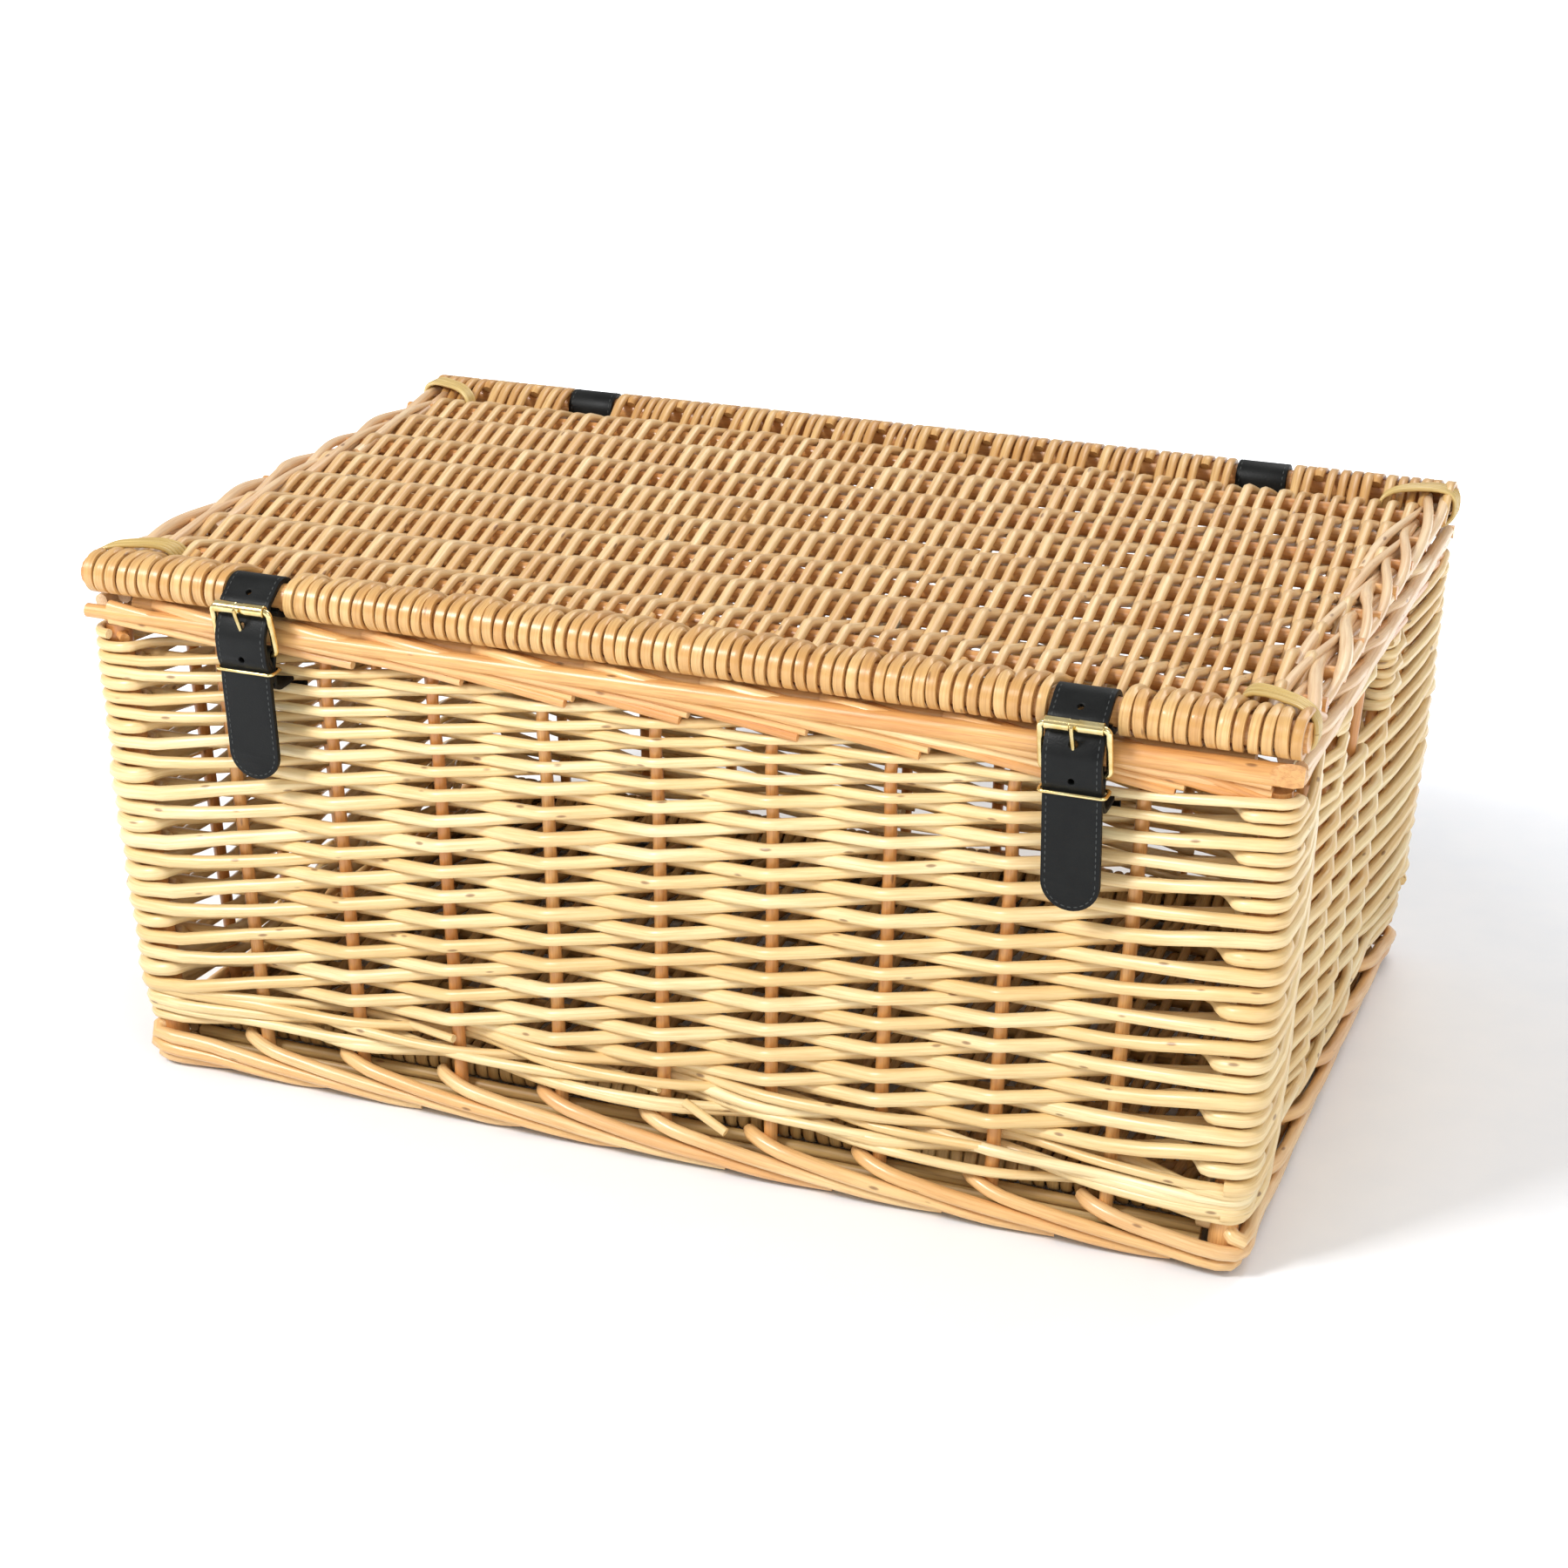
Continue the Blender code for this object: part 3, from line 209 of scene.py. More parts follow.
def willow(name, shades, streak, shade_dark, gloss=0.36, coat=0.3):
    """Buff willow rod: each rod its own shade, with grain along it, buds and a satin varnish."""
    f = Finish(name)
    rod = f.node("ShaderNodeNewGeometry").outputs["Random Per Island"]
    base = f.ramp(rod, *[(n / (len(shades) - 1), shade) for n, shade in enumerate(shades)])
    rod_shift = f.node("ShaderNodeCombineXYZ")
    f.link(f.maths("MULTIPLY", rod, 7.3), rod_shift.inputs["X"])
    f.link(f.maths("MULTIPLY", rod, 3.1), rod_shift.inputs["Y"])
    place = f.node("ShaderNodeVectorMath", operation="ADD")
    f.link(f.node("ShaderNodeAttribute", attribute_name="rod_place").outputs["Vector"], place.inputs[0])
    f.link(rod_shift.outputs["Vector"], place.inputs[1])
    place = place.outputs["Vector"]
    grain = f.node("ShaderNodeTexNoise", _Scale=1.0, _Detail=4.0, _Roughness=0.6)
    f.link(f.stretched(place, (45.0, 1100.0, 1100.0)), grain.inputs["Vector"])
    patches = f.node("ShaderNodeTexNoise", _Scale=1.0, _Detail=3.0, _Roughness=0.55)
    f.link(f.stretched(place, (16.0, 90.0, 90.0)), patches.inputs["Vector"])
    patch_share = f.ramp(patches.outputs["Fac"], (0.40, (0, 0, 0)), (0.66, (1, 1, 1)))
    coloured = f.mix(f.maths("MULTIPLY", patch_share, 0.6), base, streak)
    grain_share = f.ramp(grain.outputs["Fac"], (0.42, (0, 0, 0)), (0.70, (1, 1, 1)))
    coloured = f.mix(f.maths("MULTIPLY", grain_share, 0.5), coloured, shade_dark)
    buds = f.node("ShaderNodeTexVoronoi", _Scale=1.0, feature="F1", _Randomness=1.0)
    f.link(f.stretched(place, (42.0, 130.0, 130.0)), buds.inputs["Vector"])
    bud_share = f.ramp(buds.outputs["Distance"], (0.0, (1, 1, 1)), (0.07, (0.8, 0.8, 0.8)), (0.12, (0, 0, 0)))
    coloured = f.mix(f.maths("MULTIPLY", bud_share, 0.8), coloured, tone(112, 66, 30))
    f.link(coloured, f.shader.inputs["Base Color"])
    f.link(f.maths("MULTIPLY_ADD", grain.outputs["Fac"], 0.22, gloss - 0.09), f.shader.inputs["Roughness"])
    f.shader.inputs["Coat Weight"].default_value = coat
    f.shader.inputs["Coat Roughness"].default_value = 0.2
    f.bump(f.maths("MULTIPLY_ADD", bud_share, 1.2, grain.outputs["Fac"]), 0.3, 0.0005)
    return f.material


def cut_end(name):
    """The pale cut end of a rod, with its pith and rings."""
    f = Finish(name)
    place = f.node("ShaderNodeTexCoord")
    noise = f.node("ShaderNodeTexNoise", _Scale=900.0, _Detail=3.0)
    f.link(place.outputs["Object"], noise.inputs["Vector"])
    colour = f.ramp(noise.outputs["Fac"], (0.35, tone(222, 196, 144)), (0.65, tone(245, 232, 194)))
    f.link(colour, f.shader.inputs["Base Color"])
    f.shader.inputs["Roughness"].default_value = 0.7
    f.bump(noise.outputs["Fac"], 0.3, 0.0004)
    return f.material


def leather(name):
    """Black strap leather with a fine pebble, a soft sheen and rubbed patches."""
    f = Finish(name)
    place = f.node("ShaderNodeTexCoord").outputs["Object"]
    pebble = f.node("ShaderNodeTexVoronoi", _Scale=1500.0, feature="SMOOTH_F1")
    f.link(place, pebble.inputs["Vector"])
    cloud = f.node("ShaderNodeTexNoise", _Scale=90.0, _Detail=5.0, _Roughness=0.6)
    f.link(place, cloud.inputs["Vector"])
    colour = f.ramp(cloud.outputs["Fac"], (0.3, tone(6, 7, 7)), (0.75, tone(17, 19, 18)))
    f.link(colour, f.shader.inputs["Base Color"])
    f.link(f.maths("MULTIPLY_ADD", cloud.outputs["Fac"], 0.25, 0.36), f.shader.inputs["Roughness"])
    f.shader.inputs["Specular IOR Level"].default_value = 0.22
    f.bump(f.maths("MULTIPLY_ADD", cloud.outputs["Fac"], 0.5, pebble.outputs["Distance"]), 0.22, 0.0003)
    return f.material


def thread(name):
    """Dark waxed thread, with its twist."""
    f = Finish(name)
    place = f.node("ShaderNodeTexCoord").outputs["Object"]
    twist = f.node("ShaderNodeTexWave", _Scale=900.0, _Distortion=1.5)
    f.link(place, twist.inputs["Vector"])
    colour = f.ramp(twist.outputs["Fac"], (0.2, tone(30, 32, 31)), (0.8, tone(70, 73, 71)))
    f.link(colour, f.shader.inputs["Base Color"])
    f.shader.inputs["Roughness"].default_value = 0.7
    f.bump(twist.outputs["Fac"], 0.4, 0.0002)
    return f.material


def brass(name):
    """Polished pale brass plate, with faint drawing lines and a little tarnish."""
    f = Finish(name)
    place = f.node("ShaderNodeTexCoord").outputs["Object"]
    tarnish = f.node("ShaderNodeTexNoise", _Scale=160.0, _Detail=4.0)
    f.link(place, tarnish.inputs["Vector"])
    lines = f.node("ShaderNodeTexNoise", _Scale=1.0, _Detail=2.0)
    f.link(f.stretched(place, (300.0, 5200.0, 5200.0)), lines.inputs["Vector"])
    colour = f.ramp(tarnish.outputs["Fac"], (0.35, tone(238, 222, 168)), (0.7, tone(214, 186, 118)))
    f.link(colour, f.shader.inputs["Base Color"])
    f.shader.inputs["Metallic"].default_value = 1.0
    f.link(f.maths("MULTIPLY_ADD", tarnish.outputs["Fac"], 0.16, 0.10), f.shader.inputs["Roughness"])
    f.bump(lines.outputs["Fac"], 0.06, 0.0002)
    return f.material


def floor_paper(name):
    """White studio paper that glows with painted light, the glow growing with the distance from the trunk."""
    f = Finish(name)
    place = f.node("ShaderNodeTexCoord").outputs["Object"]
    fibre = f.node("ShaderNodeTexNoise", _Scale=40.0, _Detail=6.0)
    f.link(place, fibre.inputs["Vector"])
    colour = f.ramp(fibre.outputs["Fac"], (0.3, tone(244, 247, 252)), (0.7, tone(248, 250, 254)))
    f.link(colour, f.shader.inputs["Base Color"])
    f.shader.inputs["Roughness"].default_value = 0.9
    f.shader.inputs["Specular IOR Level"].default_value = 0.1
    # painted light: the paper glows white, with no emission within 0.4 m of the trunk and full strength
    # beyond 1.2 m
    f.shader.inputs["Emission Color"].default_value = (1.0, 1.0, 1.0, 1.0)
    reach = f.node("ShaderNodeVectorMath", operation="LENGTH")
    f.link(place, reach.inputs[0])
    quarter = f.maths("MULTIPLY", reach.outputs["Value"], 0.25)
    glow = f.ramp(quarter, (0.10, (0, 0, 0)), (0.30, (1, 1, 1)))
    f.link(glow, f.shader.inputs["Emission Strength"])
    return f.material


BODY_ROD = willow(
    "buff_willow_rows",
    (tone(234, 210, 156), tone(245, 228, 182), tone(226, 194, 134), tone(241, 221, 170), tone(236, 208, 150)),
    tone(228, 190, 128), tone(204, 158, 94),
)
LID_ROD = willow(
    "buff_willow_lid",
    (tone(228, 194, 138), tone(238, 208, 156), tone(214, 174, 116), tone(232, 200, 146), tone(220, 182, 126)),
    tone(214, 168, 110), tone(182, 130, 76),
)
WRAP_ROD = willow(
    "golden_willow_wraps",
    (tone(212, 168, 104), tone(226, 188, 126), tone(200, 152, 88), tone(220, 178, 114)),
    tone(196, 142, 78), tone(166, 112, 56), gloss=0.34, coat=0.25,
)
STAKE_ROD = willow(
    "golden_willow_stakes",
    (tone(216, 158, 92), tone(228, 178, 112), tone(204, 140, 78)),
    tone(200, 132, 68), tone(170, 104, 50),
)
BORDER_ROD = willow(
    "warm_willow_borders",
    (tone(238, 202, 142), tone(230, 182, 118), tone(242, 212, 156), tone(226, 174, 116)),
    tone(222, 164, 100), tone(198, 138, 76), coat=0.4,
)
END_ROD = willow(
    "rosy_willow_ends",
    (tone(234, 204, 160), tone(226, 190, 144), tone(241, 216, 174)),
    tone(220, 178, 134), tone(190, 140, 96),
)
BASE_ROD = willow(
    "dull_willow_base",
    (tone(190, 156, 96), tone(204, 170, 110), tone(172, 138, 80)),
    tone(168, 128, 72), tone(136, 100, 52), gloss=0.5, coat=0.05,
)
SKEIN = willow(
    "split_willow_skein",
    (tone(208, 178, 110), tone(220, 194, 128), tone(192, 160, 92)),
    tone(188, 156, 82), tone(158, 122, 58),
)
CUT_END = cut_end("cut_willow_end")
LEATHER = leather("black_strap_leather")
THREAD = thread("black_stitching")
BRASS = brass("polished_brass")


# ---------------------------------------------------------------- rods
def smooth(points, steps):
    """A smooth curve through points that each hold (place, radius), however unevenly they are spaced."""
    path = []
    for n in range(len(points) - 1):
        (b, rb), (c, rc) = points[n], points[n + 1]
        span = (c - b).length or 1e-9
        start = end = (c - b) / span
        if n > 0:
            before = (b - points[n - 1][0]).length or 1e-9
            start = ((b - points[n - 1][0]) / before * span + start * before) / (span + before)
        if n < len(points) - 2:
            after = (points[n + 2][0] - c).length or 1e-9
            end = ((points[n + 2][0] - c) / after * span + end * after) / (span + after)
        for k in range(steps):
            t = k / steps
            near, far = t * (1 - t) ** 2 * span, t**2 * (t - 1) * span
            ease = t * t * (3 - 2 * t)
            path.append((b.lerp(c, ease) + start * near + end * far, rb + (rc - rb) * t))
    return [*path, points[-1]]


def mesh_of_curve(curve):
    """The mesh that a curve makes; the curve itself is removed."""
    guide = bpy.data.objects.new(curve.name + "_guide", curve)
    bpy.context.scene.collection.objects.link(guide)
    bpy.context.view_layer.update()
    mesh = bpy.data.meshes.new_from_object(guide.evaluated_get(bpy.context.evaluated_depsgraph_get()))
    bpy.data.objects.remove(guide, do_unlink=True)
    bpy.data.curves.remove(curve)
    return mesh


def rods_mesh(name, rods, sides_level=2):
    """One mesh of round rods, each a list of (place, radius), with closed cut ends.

    Each vertex keeps its place on the straightened rod, for the grain to follow.
    """
    curve = bpy.data.curves.new(name, "CURVE")
    curve.dimensions = "3D"
    curve.bevel_depth = 1.0
    curve.bevel_resolution = sides_level
    curve.use_fill_caps = True
    curve.twist_mode = "MINIMUM"
    for rod in rods:
        spline = curve.splines.new("POLY")
        spline.points.add(len(rod) - 1)
        for point, (place, radius) in zip(spline.points, rod):
            point.co = (*place, 1)
            point.radius = radius
        spline.use_smooth = True
    mesh = mesh_of_curve(curve)

    sides = 4 + 2 * sides_level
    reaches = []
    for rod in rods:
        reach = [0.0]
        for (a, _), (b, _) in zip(rod, rod[1:]):
            reach.append(reach[-1] + (b - a).length)
        reaches.append(reach)
    # the mesh holds the caps first, from the last rod to the first, and then every rod ring by ring
    rings = [(reach[k], rod[k][1]) for reach, rod in list(zip(reaches, rods))[::-1] for k in (-1, 0)]
    rings += [(along, radius) for reach, rod in zip(reaches, rods) for along, (_, radius) in zip(reach, rod)]
    spots = []
    for along, radius in rings:
        for n in range(sides):
            angle = math.tau * n / sides
            spots += [along, radius * math.cos(angle), radius * math.sin(angle)]
    grain = mesh.attributes.new("rod_place", "FLOAT_VECTOR", "POINT")
    grain.data.foreach_set("vector", spots)
    return mesh


def make_piece(name, mesh, body, materials, stands_for=(), smooth_angle=50):
    mesh.materials.clear()
    for material in materials:
        mesh.materials.append(material)
    mesh.shade_smooth()
    mesh.set_sharp_from_angle(angle=math.radians(smooth_angle))
    piece = bpy.data.objects.new(name, mesh)
    bpy.context.scene.collection.objects.link(piece)
    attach(piece, body)
    if stands_for:
        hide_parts(*stands_for)
    return piece


def rods_piece(name, rods, body, material, stands_for=(), sides_level=2, change=None):
    """A piece made of many rods; the triangles of the rods' caps get the look of cut willow."""
    mesh = rods_mesh(name, rods, sides_level)
    bm = bmesh.new()
    bm.from_mesh(mesh)
    for face in bm.faces:
        face.material_index = 1 if len(face.verts) == 3 else 0
    bmesh.ops.remove_doubles(bm, verts=bm.verts, dist=0.00002)
    if change:
        change(bm)
    bm.to_mesh(mesh)
    bm.free()
    return make_piece(name, mesh, body, (material, CUT_END), stands_for)


def mesh_piece(name, bm, body, materials, stands_for=(), smooth_angle=40):
    bmesh.ops.recalc_face_normals(bm, faces=bm.faces)
    mesh = bpy.data.meshes.new(name)
    bm.to_mesh(mesh)
    bm.free()
    return make_piece(name, mesh, body, materials, stands_for, smooth_angle)


def wander(low, high):
    return CHANCE.uniform(low, high)


# ---------------------------------------------------------------- walls
def rand_levels():
    """The height of each layer of the walls and the radius of its rods, thinner towards the top."""
    levels = []
    z = WALL_BOTTOM + 2.0 * MM
    while z < WALL_TOP + 2.0 * MM:
        thin = min(max((z - 150 * MM) / (60 * MM), 0), 1)
        radius = (3.15 - 0.95 * thin) * MM
        levels.append((z, radius))
        z += 2 * radius * 0.985
    return levels


LEVELS = rand_levels()


def corner_turn(s, level, z, r):
    """A rod's way past a corner post: most go round the outside, some come out just before it."""
    fat = r * 1.14
    arc_turns = [(round_post(s, z, POST_R + fat * 0.97, turn), fat) for turn in (-46, -23, 0, 23, 46)]
    if level % 2 == 0:
        return arc_turns
    if level % 4 == 3:
        return [(round_post(s, z, -(POST_R + r), turn), r) for turn in (-38, 0, 38)]
    lead = [(0.40, -4.5, r), (0.31, -1.5, r), (0.235, 4.0, r), (0.18, 8.0, fat)]
    before = [(wall_place(s - back, z - 0.8 * MM, out * MM), thick) for back, out, thick in lead]
    after = [(wall_place(s + back, z + 0.8 * MM, out * MM), thick) for back, out, thick in lead[::-1]]
    return before + arc_turns + after


def climbing_rod(start):
    """A rod that starts behind an upright and climbs one layer at each, in front and behind by turns.

    Gives (upright, points) pairs, so that the rod can be parted at a hand hole.
    """
    bulk = wander(0.92, 1.08)
    stops = []
    drift = 0.0
    for level, (z, radius) in enumerate(LEVELS):
        s = start + level
        r = radius * bulk * wander(0.96, 1.04)
        drift = drift * 0.5 + wander(-0.3, 0.3) * MM
        level_z = z + drift
        if is_corner(s):
            squeeze = {0: -0.33, 2: 0.33}.get(level % 4, 0) * 2 * radius
            stops.append((s, corner_turn(s, level, z + squeeze, r)))
            continue
        side = 1 if level % 2 else -1
        out = side * (STAKE_R + r * 0.97)
        step = radius * 2 * 0.13
        points = [(wall_place(s, level_z, out), r)]
        if not (side > 0 and is_corner(s - 1)):
            points.insert(0, (wall_place(s - 0.13, level_z - step, out * 0.78), r))
        if not (side > 0 and is_corner(s + 1)):
            points.append((wall_place(s + 0.13, level_z + step, out * 0.78), r))
        stops.append((s, points))
    return stops


def turned_end(s, z, radius, towards, side):
    """A rod's end that turns round the bare stake at the edge of a hand hole."""
    reach = STAKE_R + radius
    near = reach / (2 * half_y(z) / END_GAPS)
    return [
        (wall_place(s, z, side * reach), radius),
        (wall_place(s + towards * near * 0.9, z + 0.4 * MM, side * reach * 0.45), radius),
        (wall_place(s + towards * near * 0.9, z + 0.8 * MM, -side * reach * 0.45), radius * 0.95),
        (wall_place(s, z + 1.2 * MM, -side * reach), radius * 0.9),
        (wall_place(s - towards * 0.2, z + 1.0 * MM, -side * reach * 0.8), radius * 0.85),
    ]


def parted_rods(stops):
    """A climbing rod as the rods it becomes: it turns back at a hand hole and goes on beyond it."""
    rods = [[]]
    for s, points in stops:
        place, r = points[len(points) // 2]
        here = s % RING
        near_hole = HAND_HOLE_LOW - 5 * MM < place.z < HAND_HOLE_HIGH + 1 * MM
        side = 1 if abs(place.x) > half_x(place.z) else -1
        if near_hole and here in UPRIGHTS_IN_HOLES:
            rods.append([])
        elif near_hole and here in UPRIGHTS_BEFORE_HOLES:
            rods[-1] += turned_end(s, place.z, r, 1, side)
        elif near_hole and here in UPRIGHTS_AFTER_HOLES:
            rods.append(turned_end(s, place.z, r, -1, side)[::-1])
        else:
            rods[-1] += points
    return [rod for rod in rods if len(rod) > 3]


def wall_of(rod):
    """Which wall a rod's middle is on."""
    place = rod[len(rod) // 2][0]
    across = (abs(place.x) - half_x(place.z)) - (abs(place.y - MID_Y) - half_y(place.z))
    if across > 0:
        return "right" if place.x > 0 else "left"
    return "front" if place.y < MID_Y else "rear"


def build_rows():
    """The woven rods of the walls; a rod belongs to the wall that its middle is on."""
    rods = {wall: [] for wall in ("front", "rear", "left", "right")}
    for start in range(RING):
        for path in parted_rods(climbing_rod(start)):
            rod = smooth(path, 3)
            rods[wall_of(rod)].append(rod)
    for wall, lot in rods.items():
        rods_piece(f"{wall}_woven_rods", lot, "basket", BODY_ROD, (f"{wall}_wall_weave",))


def build_posts():
    names = ("front_left", "front_right", "rear_left", "rear_right")
    for name, corner in zip(names, (0, 1, 3, 2)):
        s = CORNERS_AT[corner]
        path = []
        for n in range(9):
            z = FOOT_Z + (POST_TOP_Z - FOOT_Z) * n / 8
            place = round_post(s, z, 0, 0) + Vector((wander(-0.3, 0.3), wander(-0.3, 0.3), 0)) * MM
            path.append((place, POST_R * (1.0 - 0.05 * n / 8)))
        node = f"corner_post_{name}"
        rods_piece(f"{name}_post", [smooth(path, 2)], "basket", STAKE_ROD, (node,), 4)


def border_rod(s, top, run):
    """A stake that rises, bends down along the border, and descends in front of the next ones."""
    r = STAKE_R
    path = []
    for n in range(6):
        z = FOOT_Z + 1 * MM + (top - 16 * MM - FOOT_Z) * n / 5
        path.append((wall_place(s, z, wander(-0.2, 0.2) * MM), r * (1.04 - 0.03 * n)))
    path.append((wall_place(s + 0.02, top - 8.5 * MM, -0.6 * MM), r * 0.95))
    path.append((wall_place(s + 0.10, top - 3.2 * MM, -2.0 * MM), r * 0.95))
    path.append((wall_place(s + 0.30, top - 0.6 * MM, -3.0 * MM), r * 0.96))
    path.append((wall_place(s + 0.62, top + 0.6 * MM, -1.5 * MM), r * 0.97))
    path.append((wall_place(s + 0.90, top + 0.6 * MM, 3.2 * MM), r * 0.98))
    drop = 15.5 * MM
    for n in range(1, 7):
        share = n / 6
        along = s + 0.90 + run * share
        out = (6.6 - 0.7 * share) * MM
        height = top + 0.6 * MM - drop * (share**1.15)
        path.append((wall_place(along, height, out), r * (0.98 - 0.22 * share)))
    return path


def build_stakes():
    """Stakes with their tops laid down into the border."""
    top = BORDER_Z - 0.2 * MM
    for wall, (first, last) in WALL_SPANS.items():
        rods = []
        for s in range(first + 1, last):
            run = min(2.35, last - s - 0.78)
            if run > 0.45:
                rods.append(smooth(border_rod(s, top, run), 3))
                continue
            path = []
            for n in range(6):
                z = FOOT_Z + (top - 6 * MM - FOOT_Z) * n / 5
                path.append((wall_place(s, z, wander(-0.2, 0.2) * MM), STAKE_R))
            rods.append(smooth(path, 2))
        rods_piece(
            f"{wall}_stakes_laid_down", rods, "basket", STAKE_ROD,
            (f"{wall}_stakes_and_border",), 3,
        )


def slanting_cut(bm):
    """Cuts the thick end of the front rod off at a slant."""
    tip = max(vert.co.x for vert in bm.verts)
    cut = bmesh.ops.bisect_plane(
        bm, geom=[*bm.verts, *bm.edges, *bm.faces], dist=0.000001, clear_outer=True,
        plane_co=(tip - 6.0 * MM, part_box("front_edge_rod")[0].y + 4 * MM, BORDER_Z),
        plane_no=(0.5, -0.8, 0.28),
    )
    rim = [edge for edge in cut["geom_cut"] if isinstance(edge, bmesh.types.BMEdge)]
    filled = bmesh.ops.contextual_create(bm, geom=rim)
    for face in filled["faces"]:
        face.material_index = 1


def lapped_rods(first, last):
    """Tapering rods laid along one wall's border, each starting one upright after the one before."""
    reach = 2.9
    rods = []
    for lane in range(-2, last - first):
        start = first + lane + 0.42
        end = min(start + reach, last - 0.03)
        begin = max(start, first + 0.03)
        if end - begin < 0.6:
            continue
        path = []
        for n in range(9):
            s = begin + (end - begin) * (n / 8)
            progress = (s - start) / reach
            out = (5.2 + 2.6 * math.sin(math.pi * min(progress * 1.2, 1))) * MM
            z = BORDER_Z + 3.0 * MM - 15.0 * MM * progress
            r = (3.15 - 0.75 * progress) * MM
            if n == 0 and begin == start:
                out, z = 1.0 * MM, z - 1.5 * MM
            path.append((wall_place(s, z, out) + Vector((0, 0, wander(-0.3, 0.3))) * MM, r))
        rods.append(smooth(path, 3))
    return rods


def outer_rod(wall, first, last):
    """The long rod outside the border; the front one is thick and runs past both corners."""
    low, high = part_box(f"{wall}_edge_rod")
    path = []
    for n in range(9):
        share = n / 8
        s = first + (last - first) * share
        z = (low.z + high.z) / 2 + (2.0 + 2.4 * share) * MM
        place = wall_place(min(s, last - 1e-6), z, 7.6 * MM)
        if wall in ("front", "rear"):
            place.x = (2 * share - 1) * (half_x(BORDER_Z) + 10 * MM) * (1 if wall == "front" else -1)
        path.append((place, (3.3 + 1.6 * share) * MM if wall == "front" else 3.2 * MM))
    return smooth(path, 2)


def inner_rod(first, last):
    """The rod inside the border that the stakes are bent over."""
    path = []
    for n in range(9):
        s = first + (last - first) * (0.02 + 0.96 * n / 8)
        path.append((wall_place(s, BORDER_Z + 0.6 * MM, -0.4 * MM), 3.6 * MM))
    return smooth(path, 2)


def build_border_rods():
    """Long tapering rods of the top border, laid over one another."""
    for wall, (first, last) in WALL_SPANS.items():
        rods = lapped_rods(first, last)
        outer = outer_rod(wall, first, last)
        if wall == "front":
            rods_piece("front_thick_rod", [outer], "basket", STAKE_ROD, (), 5, slanting_cut)
        else:
            rods.append(outer)
        rods.append(inner_rod(first, last))
        rods_piece(
            f"{wall}_border_rods", rods, "basket",
            BORDER_ROD if wall in ("front", "rear") else END_ROD, (f"{wall}_edge_rod",), 3,
        )


def build_wale():
    """The bottom wale: rods that pass in front of two uprights and behind one, slowly falling."""
    rods = []
    low, high = WALE_BOTTOM - 4.0 * MM, WALE_TOP + 2.0 * MM
    lanes = 6
    for lane in range(lanes):
        first = lane * 5 + 1
        while first < RING + lane * 5:
            last = min(first + CHANCE.choice((9, 10, 12)), RING + lane * 5 + 1)
            z0 = low + 2.6 * MM + (high - low - 5.2 * MM) * lane / (lanes - 1)
            path = []
            for s in range(first, last + 1):
                share = (s - first) / (last - first)
                z = z0 + (1.3 - 2.6 * share) * MM + 0.7 * MM * math.sin(2 * math.pi * (s + 2 * lane) / 3)
                r = (2.85 - 0.75 * share) * MM * wander(0.95, 1.05)
                if is_corner(s):
                    for turn in (-47, -20, 20, 47):
                        path.append((round_post(s, z, POST_R + r, turn), r))
                else:
                    inside = (s + lane) % 3 == 0 or s == first
                    out = -(STAKE_R + r) if inside else STAKE_R + r
                    path.append((wall_place(s, z, out), r))
            rods.append(smooth(path, 5))
            first = last
    loose_end = []
    for share in (0, 0.3, 0.6, 1.0):
        place = wall_place(5.25 + 0.42 * share, (34 - 9 * share) * MM, (7.5 + 4.0 * share) * MM)
        loose_end.append((place, 2.1 * MM))
    rods.append(smooth(loose_end, 3))
    rods_piece("bottom_wale_rods", rods, "basket", BODY_ROD, ("bottom_wale",))


def build_foot():
    """The foot border: a rod leaves each upright and sweeps down outside the next two."""
    rods = []
    # uprights along, millimetres out and up, and radius
    stops = (
        (-0.22, -3.0, 20.0, 3.0), (-0.15, 2.0, 20.8, 3.3), (0.04, 6.4, 19.0, 3.4),
        (0.5, 8.4, 15.2, 3.35), (1.0, 8.2, 11.4, 3.25), (1.5, 7.4, 8.2, 3.0),
        (2.0, 6.0, 5.2, 2.8), (2.4, 4.2, 3.4, 2.5), (2.6, 2.6, 3.0, 2.3),
    )
    for s in range(RING):
        path = []
        swell = wander(0.92, 1.06)
        for along, out, z, r in stops:
            nearest = round(s + along)
            place = wall_place(s + along, z * MM, out * MM)
            if is_corner(nearest) and abs(s + along - nearest) < 0.2:
                place = round_post(nearest, z * MM, (out + 1.5) * MM, 0)
            place.z = max(place.z + wander(-0.4, 0.4) * MM, r * MM)
            path.append((place, r * swell * MM))
        rods.append(smooth(path, 4))
    rods_piece("foot_border_rods", rods, "basket", BORDER_ROD, ("foot_border",), 3)
    inner = []
    for out, z, r in ((-3.6, 3.2, 2.9), (-4.6, 9.0, 3.0), (-5.4, 14.6, 2.9), (0.2, 6.6, 2.6)):
        for first, last in WALL_SPANS.values():
            path = []
            for n in range(13):
                s = first + (last - first) * (0.02 + 0.96 * n / 12)
                place = wall_place(s, (z + wander(-0.5, 0.5)) * MM, (out + wander(-0.6, 0.6)) * MM)
                path.append((place, r * MM))
            inner.append(smooth(path, 2))
    rods_piece("foot_inner_rods", inner, "basket", BASE_ROD)


# ---------------------------------------------------------------- lid and base panels
def edge_gap(x, front):
    """Whether a weaver stops short of the edge stick, to leave it bare for leather."""
    centre, half = (STRAP_X, STRAP_W / 2) if front else (HINGE_X, HINGE_W / 2)
    return abs(abs(x) - centre) < half + 1.6 * MM


